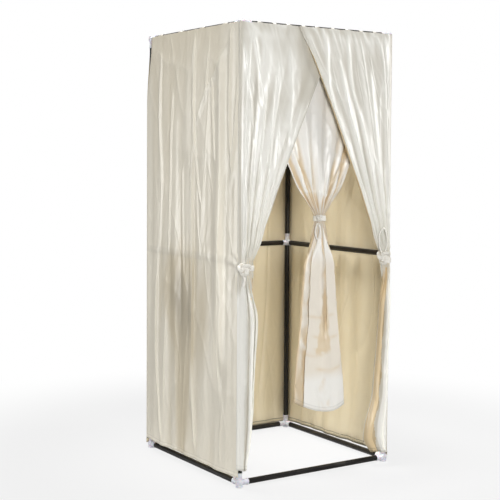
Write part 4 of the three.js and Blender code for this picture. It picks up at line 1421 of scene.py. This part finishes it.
def addCurtain():
    seed = curtain["seed"]
    across, height, drawn, below, spread = draped(curtain, np.linspace(0, 1, curtain["columns"]))
    depth, wave = gathersOf(curtain, across, height, drawn, below)
    swell = swellOf(across, drawn ** cloth["gathering"])
    # Below the tie it shows a few broad folds, and both its edges are folded in behind them
    loosened = smooth(*curtain["loosened"], below)

    def turning(first, second, place):
        return through(curtain[first], place) * (1 - loosened) + through(curtain[second], place) * loosened

    front = turning("tailFolds", "lowFolds", slipped(curtain, across, height))
    tuck = sum(window(*edges, across) for edges in curtain["tucked"]) * tucksOf(*curtain["tucks"], across)
    fold = depth * ((1 - swell * wave) / 2 * (1 - spread) + (front - tuck) * spread)
    way = (2 * across - 1) * (1 - spread) + turning("tailWay", "lowWay", across) * spread
    x = curtain["offset"] * drawn + curtain["drift"] * below + through(curtain["halfWidth"], height) * way
    atEdge = smooth(0, 0.05, fromEdges(across))
    loose = atEdge * smooth(0.02, 0.2, drawn)
    inTail = loose * spread * window(*curtain["crumpled"], across)
    crossing = creased(height, x, curtain["crossCreases"], fade=0.02)
    relief = rippled(curtain["ripples"], {"all": (loose, x), "tail": (inTail, x)}, height, seed)
    relief = relief + loose * (creased(x, height, curtain["creases"]) + crossing)
    grooves = atEdge * creased(x, height, curtain["grooves"], fade=0.05)
    level, reach = curtain["held"]
    fold = fold + (grooves - relief) * (1 - bell(height - level, reach))
    least = curtain["leastFold"]
    fold = np.where(fold > least, fold, least * np.exp((fold - least) / least))
    height = height + through(curtain["hemRise"], (way + 1) / 2) * below**1.5
    height = height - sagged(x, height, [share * half for share in curtain["loops"]])
    points = beside("front", x, -curtain["stand"] - fold, height)
    # Painted shade: a tan patch with ragged edges in the middle of the tail
    left, right = (through([(level, side[i]) for level, *side in curtain["patch"]], height) for i in (0, 1))
    edge, (bottom, top) = curtain["ragged"], curtain["shadePatchDown"]
    ragged = edge * softNoise(x, height, 0.018, 0.022, seed + 12)
    shadePatch = smooth(-edge, edge, x - left + ragged) * smooth(edge, -edge, x - right + ragged)
    shadePatch = shadePatch * smooth(*bottom, height + 2 * ragged) * smooth(*top, height) * smooth(0.75, 0.7, across)
    # Painted shade over the tail, deeper along its cross creases and weaker towards the hem
    least, gain = curtain["wearAndShade"]
    wearAndShade = least + gain * creased(height, x, curtain["crossCreases"], fade=0.02)
    wearAndShade = wearAndShade * inTail * (1 - 0.8 * smooth(*curtain["shadeDown"], height))
    # Painted shade from the folds' depth, less in the middle above the tie, which shows few folds
    middle, reach = curtain["plain"]
    plain = smooth(*curtain["plainDown"], height) * bell(across - middle, reach)
    shaded = fold / curtain["shadeDepth"] * (1 - 0.75 * plain)
    shade = np.clip(np.maximum(shaded, wearAndShade) + curtain["shadePatch"] * shadePatch, 0, 1)
    hangCurtain(
        "curtain", curtain, points, flatMap(points, height), shade, ("inner_curtain", "inner_tail"),
        np.array([curtain["offset"], -half + 0.028, 0]), curtain["loops"], -curtain["stand"],
    )


addCurtain()
print("centre curtain hung")


# Ties: belts round the gathered cloth, and their knots

belt = {"thick": 0.0024, "clearance": 0.0010, "steps": 120, "ripple": 0.0005}
strap = {"width": 0.0175, "thick": 0.0052, "voxel": 0.0009, "rounds": 2, "crumple": 0.0009}
narrowStrap = {"width": 0.0115, "thick": 0.0045, "voxel": 0.0008, "rounds": 2, "crumple": 0.0008}
hollows = {"rounds": 14, "share": 0.6, "depth": 0.0007}
postLevel, curtainLevel = ((piece["tieBottom"], piece["tieTop"]) for piece in (cloth, curtain))
ties = {
    "left_tie": {
        "body": "frame",
        "level": postLevel,
        # The middles and the radii of what the belt goes round
        "rounds": [((-half, -half), (tubeRadius, tubeRadius)), ((-0.3845, -0.43075), (0.0285, 0.01375))],
        "strap": strap,
        "knot": (-0.4135, -0.4495, 0.9475),
        "size": (0.062, 0.024, 0.062),
        "turn": -0.55,
        # The strap's loose end, from the knot's middle
        "hanging": [(-0.004, 0, -0.02), (0.002, -0.001, -0.045), (-0.004, 0, -0.075)],
        "hangingSize": (0.012, 0.003),
        "hangingFace": (-0.3, -1, 0),
        "seed": 71,
    },
    "right_tie": {
        "body": "frame",
        "level": postLevel,
        "rounds": [((half, -half), (tubeRadius, tubeRadius)), ((0.373, -0.43075), (0.0285, 0.01375))],
        "strap": strap,
        "knot": (0.3465, -0.4505, 0.968),
        "size": (0.066, 0.024, 0.070),
        "turn": -0.48,
        # One tall bow loop above the knot
        "hanging": [
            (0.008, 0.002, 0.02), (0.02, 0.001, 0.06), (0.017, 0, 0.1), (-0.001, -0.001, 0.134),
            (-0.022, 0, 0.112), (-0.027, 0, 0.07), (-0.016, 0.001, 0.03), (-0.006, 0.002, 0.012),
        ],
        "hangingSize": (0.0085, 0.0022),
        "hangingFace": (0.35, -1, 0.1),
        "seed": 83,
    },
    "inner_tie": {
        "body": "inner_curtain",
        "level": curtainLevel,
        "rounds": [((0.037, -0.37175), (0.0305, 0.01275))],
        "strap": narrowStrap,
        "knot": (0.0205, -0.3925, 1.1525),
        "size": (0.036, 0.019, 0.034),
        "turn": -0.2,
        "seed": 97,
    },
}
# The curtain tie's loop: its places are shares of its width and its drop
tieLoop = {
    "top": (0.019, 1.128),
    "width": 0.029,
    "drop": 0.074,
    "shape": [(-0.42, 0.3), (-0.46, 0.72), (0, 1), (0.46, 0.72), (0.4, 0.3)],
    "gap": (-0.003, 0.004),
    "strap": (0.0072, 0.0022),
    "face": (0.1, -1, 0.1),
    "steps": 60,
}


def distancesAlong(points):
    return np.concatenate([[0], np.cumsum(np.linalg.norm(np.diff(points, axis=0), axis=1))])


def wobble(steps, size, seed):
    return softNoise(steps, steps * 0, size, 1, seed)


def beltShell(rounds, low, high, seed):
    # Round ovals that lie side by side, pulled tight over them
    middles, radii = (np.array(values) for values in zip(*rounds))
    angles = 2 * np.pi * np.arange(belt["steps"]) / belt["steps"]
    directions = np.stack([np.cos(angles), np.sin(angles)], 1)
    grown = radii + belt["clearance"] + belt["thick"] / 2
    reach = np.linalg.norm(grown[:, None] * directions, axis=2) + middles @ directions.T
    best = reach.argmax(0)
    own = grown[best] ** 2 * directions
    outline = own / np.linalg.norm(grown[best] * directions, axis=1)[:, None] + middles[best]
    closed = np.concatenate([outline, outline[:1]])
    lengths = distancesAlong(closed)
    even = np.linspace(0, lengths[-1], belt["steps"], endpoint=False)
    outline = np.stack([np.interp(even, lengths, closed[:, axis]) for axis in range(2)], 1)
    tangent = np.roll(outline, -1, 0) - np.roll(outline, 1, 0)
    facing = unit(np.stack([tangent[:, 1], -tangent[:, 0], 0 * even], 1))
    path = np.concatenate([outline, np.full((len(even), 1), (low + high) / 2)], 1)
    path[:, 2] += 0.0012 * wobble(even, 0.02, seed)
    width = (high - low) * (1 + 0.05 * wobble(even, 0.015, seed + 1))
    return strapShell(path, facing, width, belt["thick"], closed=True, sides=36, gather=belt["ripple"])


def knotShells(middle, size, turn, band, seed, count=90):
    # A trefoil laid flat against the belt, round a core. The knot's size is its width, depth and height.
    wide, thick = band["width"], band["thick"]
    room = np.array(size) / 2 - np.array((wide * 0.42, thick * 0.75, wide * 0.42))
    t = 2 * np.pi * np.arange(count) / count
    aside, up = (np.sin(t) + 2 * np.sin(2 * t)) / 3, (np.cos(t) - 2 * np.cos(2 * t)) / 3
    places = np.stack([aside, -np.sin(3 * t), up], 1)
    run = np.array([math.cos(turn), math.sin(turn), 0])
    outward = np.array([math.sin(turn), -math.cos(turn), 0])
    path = middle + places * room @ np.array([run, outward, zAxis])
    steps = np.arange(count) / count
    width = wide * (1 + 0.22 * wobble(steps, 0.09, seed))
    height = thick * (1 + 0.25 * wobble(steps, 0.06, seed + 1))
    core = middle + np.outer(np.linspace(-0.3, 0.3, 7), zAxis) * size[2]
    return [
        strapShell(path, outward, width, height, closed=True, sides=36, gather=thick * 0.22),
        strapShell(core, outward, size[0] * 0.45, size[1] * 0.5, sides=36, gather=thick * 0.2),
    ]


def fused(name, shells, band, seed):
    # Straps fused into one knotted mass, softened, then creased
    piece = addPiece(name, joined(shells), "tie satin")
    remesh = piece.modifiers.new("fuse", "REMESH")
    remesh.mode, remesh.voxel_size = "VOXEL", band["voxel"]
    soften = piece.modifiers.new("soften", "SMOOTH")
    soften.factor, soften.iterations = 0.5, band["rounds"]
    mesh = settled(piece)
    points, normals = readVectors(mesh, "co"), readVectors(mesh, "normal")
    x, y, z = points.T
    ripple = softNoise(x + y, z, 0.007, 0.005, seed) + 0.6 * softNoise(x - y, z, 0.003, 0.012, seed + 1)
    points = points + normals * (band["crumple"] * ripple)[:, None]
    faces = [tuple(face.vertices) for face in mesh.polygons]
    ends = np.array([edge.vertices[:] for edge in mesh.edges])
    bpy.data.objects.remove(piece)
    bpy.data.meshes.remove(mesh)
    # Painted shade in the hollows, which are where the evened-out shape lies above the real one
    count = np.bincount(ends.ravel(), minlength=len(points))[:, None]
    even = points
    for _ in range(hollows["rounds"]):
        total = np.zeros_like(points)
        for one, other in ((0, 1), (1, 0)):
            np.add.at(total, ends[:, one], even[ends[:, other]])
        even = (1 - hollows["share"]) * even + hollows["share"] * total / count
    hollow = np.clip(((even - points) * normals).sum(1) / hollows["depth"], 0, 1)
    piece = addSoft(name, (points - roomMiddle, faces), "tie satin")
    addField(piece, "fold", hollow)
    return piece


def hangingStrap(points, width, thick, facing, count=40):
    # A narrow strap along a smooth curve through points
    points = np.array(points, float)
    lengths = distancesAlong(points)
    even = np.linspace(0, lengths[-1], count)
    path = np.stack([through(list(zip(lengths, points[:, axis])), even) for axis in range(3)], 1)
    return strapShell(path, facing, width, thick, sides=10)


def addTie(name):
    tie = ties[name]
    seed, knot, band = tie["seed"], np.array(tie["knot"]), tie["strap"]
    shells = [beltShell(tie["rounds"], *tie["level"], seed)]
    shells += knotShells(knot, tie["size"], tie["turn"], band, seed)
    if "hanging" in tie:
        shells.append(hangingStrap(knot + tie["hanging"], *tie["hangingSize"], tie["hangingFace"]))
    claim(fused(f"{name}_knot", shells, band, seed), name, tie["body"])


def addTieLoop(node):
    low, high = (np.array(corner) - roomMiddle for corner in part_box(node))
    y, (x, top) = (low[1] + high[1]) / 2, tieLoop["top"]
    first, last = ((x + gap, y, top) for gap in tieLoop["gap"])
    wide, drop = tieLoop["width"], tieLoop["drop"]
    around = [(x + wide * share, y, top - drop * down) for share, down in tieLoop["shape"]]
    shell = hangingStrap([first, *around, last], *tieLoop["strap"], tieLoop["face"], tieLoop["steps"])
    claim(addSoft(f"{node}_strap", shell, "tie satin"), node, "inner_tail")


for name in ties:
    addTie(name)
addTieLoop("inner_tie_loop")
print("ties knotted")


# Floor, lamps and background

studio = {
    "floor": (0.45, 0.45, 0.45),
    "floorSize": 12.0,
    "clearFrom": 1.0,
    "clearTo": 2.4,
    "nearWhite": 0.82,
    "sky": 0.18,
    "lamps": {
        "front": {"place": (-2.35, -5.4, 1.9), "aim": (-0.2, -0.3, 0.9), "size": (1.2, 1.2), "power": 173},
        "right": {"place": (4.5, -2.2, 2.3), "aim": (0, -0.4, 1.0), "size": (0.7, 2.2), "power": 100},
        "left": {"place": (-4.5, -1.3, 2.5), "aim": (-0.4, 0, 1.0), "size": (0.7, 2.2), "power": 16},
        "rear left": {"place": (-3.7, 2.5, 1.0), "aim": (-0.4, 0, 1.0), "size": (0.6, 2.6), "power": 60},
        # A spot from above fills the inside of the room
        "inside": {
            "place": (-0.36, 0.22, 5.0), "aim": (0.12, 0.02, 1.0), "cone": 25, "size": 0.7, "power": 1330,
        },
    },
}


def addLamp(name):
    lamp = studio["lamps"][name]
    light = bpy.data.lights.new(name, "SPOT" if "cone" in lamp else "AREA")
    light.energy = lamp["power"]
    if "cone" in lamp:
        light.spot_size, light.spot_blend = math.radians(lamp["cone"]), 0.5
        light.shadow_soft_size = lamp["size"]
    else:
        light.shape = "RECTANGLE"
        light.size, light.size_y = lamp["size"]
    holder = bpy.data.objects.new(name, light)
    holder.location = lamp["place"]
    aim = Vector(lamp["aim"]) - Vector(lamp["place"])
    holder.rotation_euler = aim.to_track_quat("-Z", "Y").to_euler()
    scene.collection.objects.link(holder)


def addFloor():
    size = studio["floorSize"]
    mesh = bpy.data.meshes.new("floor")
    spots = [(x * size, y * size, 0) for x, y in ((-1, -1), (1, -1), (1, 1), (-1, 1))]
    mesh.from_pydata(spots, [], [(0, 1, 2, 3)])
    finish, wire, place = newFinish("pale floor")
    plain = wire.principled({
        "Base Color": (*studio["floor"], 1),
        "Roughness": place.noise(300.0) * 0.1 + 0.7,
    })
    seen = wire.node("ShaderNodeLightPath", output="Is Camera Ray")
    white = wire.node("ShaderNodeEmission", {}, {"Color": (1, 1, 1, 1), "Strength": 1.0})
    far = place.vector("LENGTH", {}, "Value")
    cleared = far.between(studio["clearFrom"], studio["clearTo"]) * (1 - studio["nearWhite"])
    factor = (cleared + studio["nearWhite"]) * seen
    wire.node("ShaderNodeMixShader", {}, {0: factor, 1: plain, 2: white}).surface()
    mesh.materials.append(finish)
    floor = bpy.data.objects.new("floor", mesh)
    scene.collection.objects.link(floor)


def addSky():
    scene.world = bpy.data.worlds.new("studio")
    scene.world.use_nodes = True
    scene.world.node_tree.nodes.clear()
    wire = Wire(scene.world.node_tree)
    seen = wire.node("ShaderNodeLightPath", output="Is Camera Ray")
    light, backdrop = (
        wire.node("ShaderNodeBackground", {}, {"Color": (1, 1, 1, 1), "Strength": strength})
        for strength in (studio["sky"], 1.0)
    )
    shown = wire.node("ShaderNodeMixShader", {}, {0: seen, 1: light, 2: backdrop})
    wire.node("ShaderNodeOutputWorld", {}, {"Surface": shown})


addFloor()
for name in studio["lamps"]:
    addLamp(name)
addSky()
scene.view_settings.view_transform = "Standard"
print("studio lit")
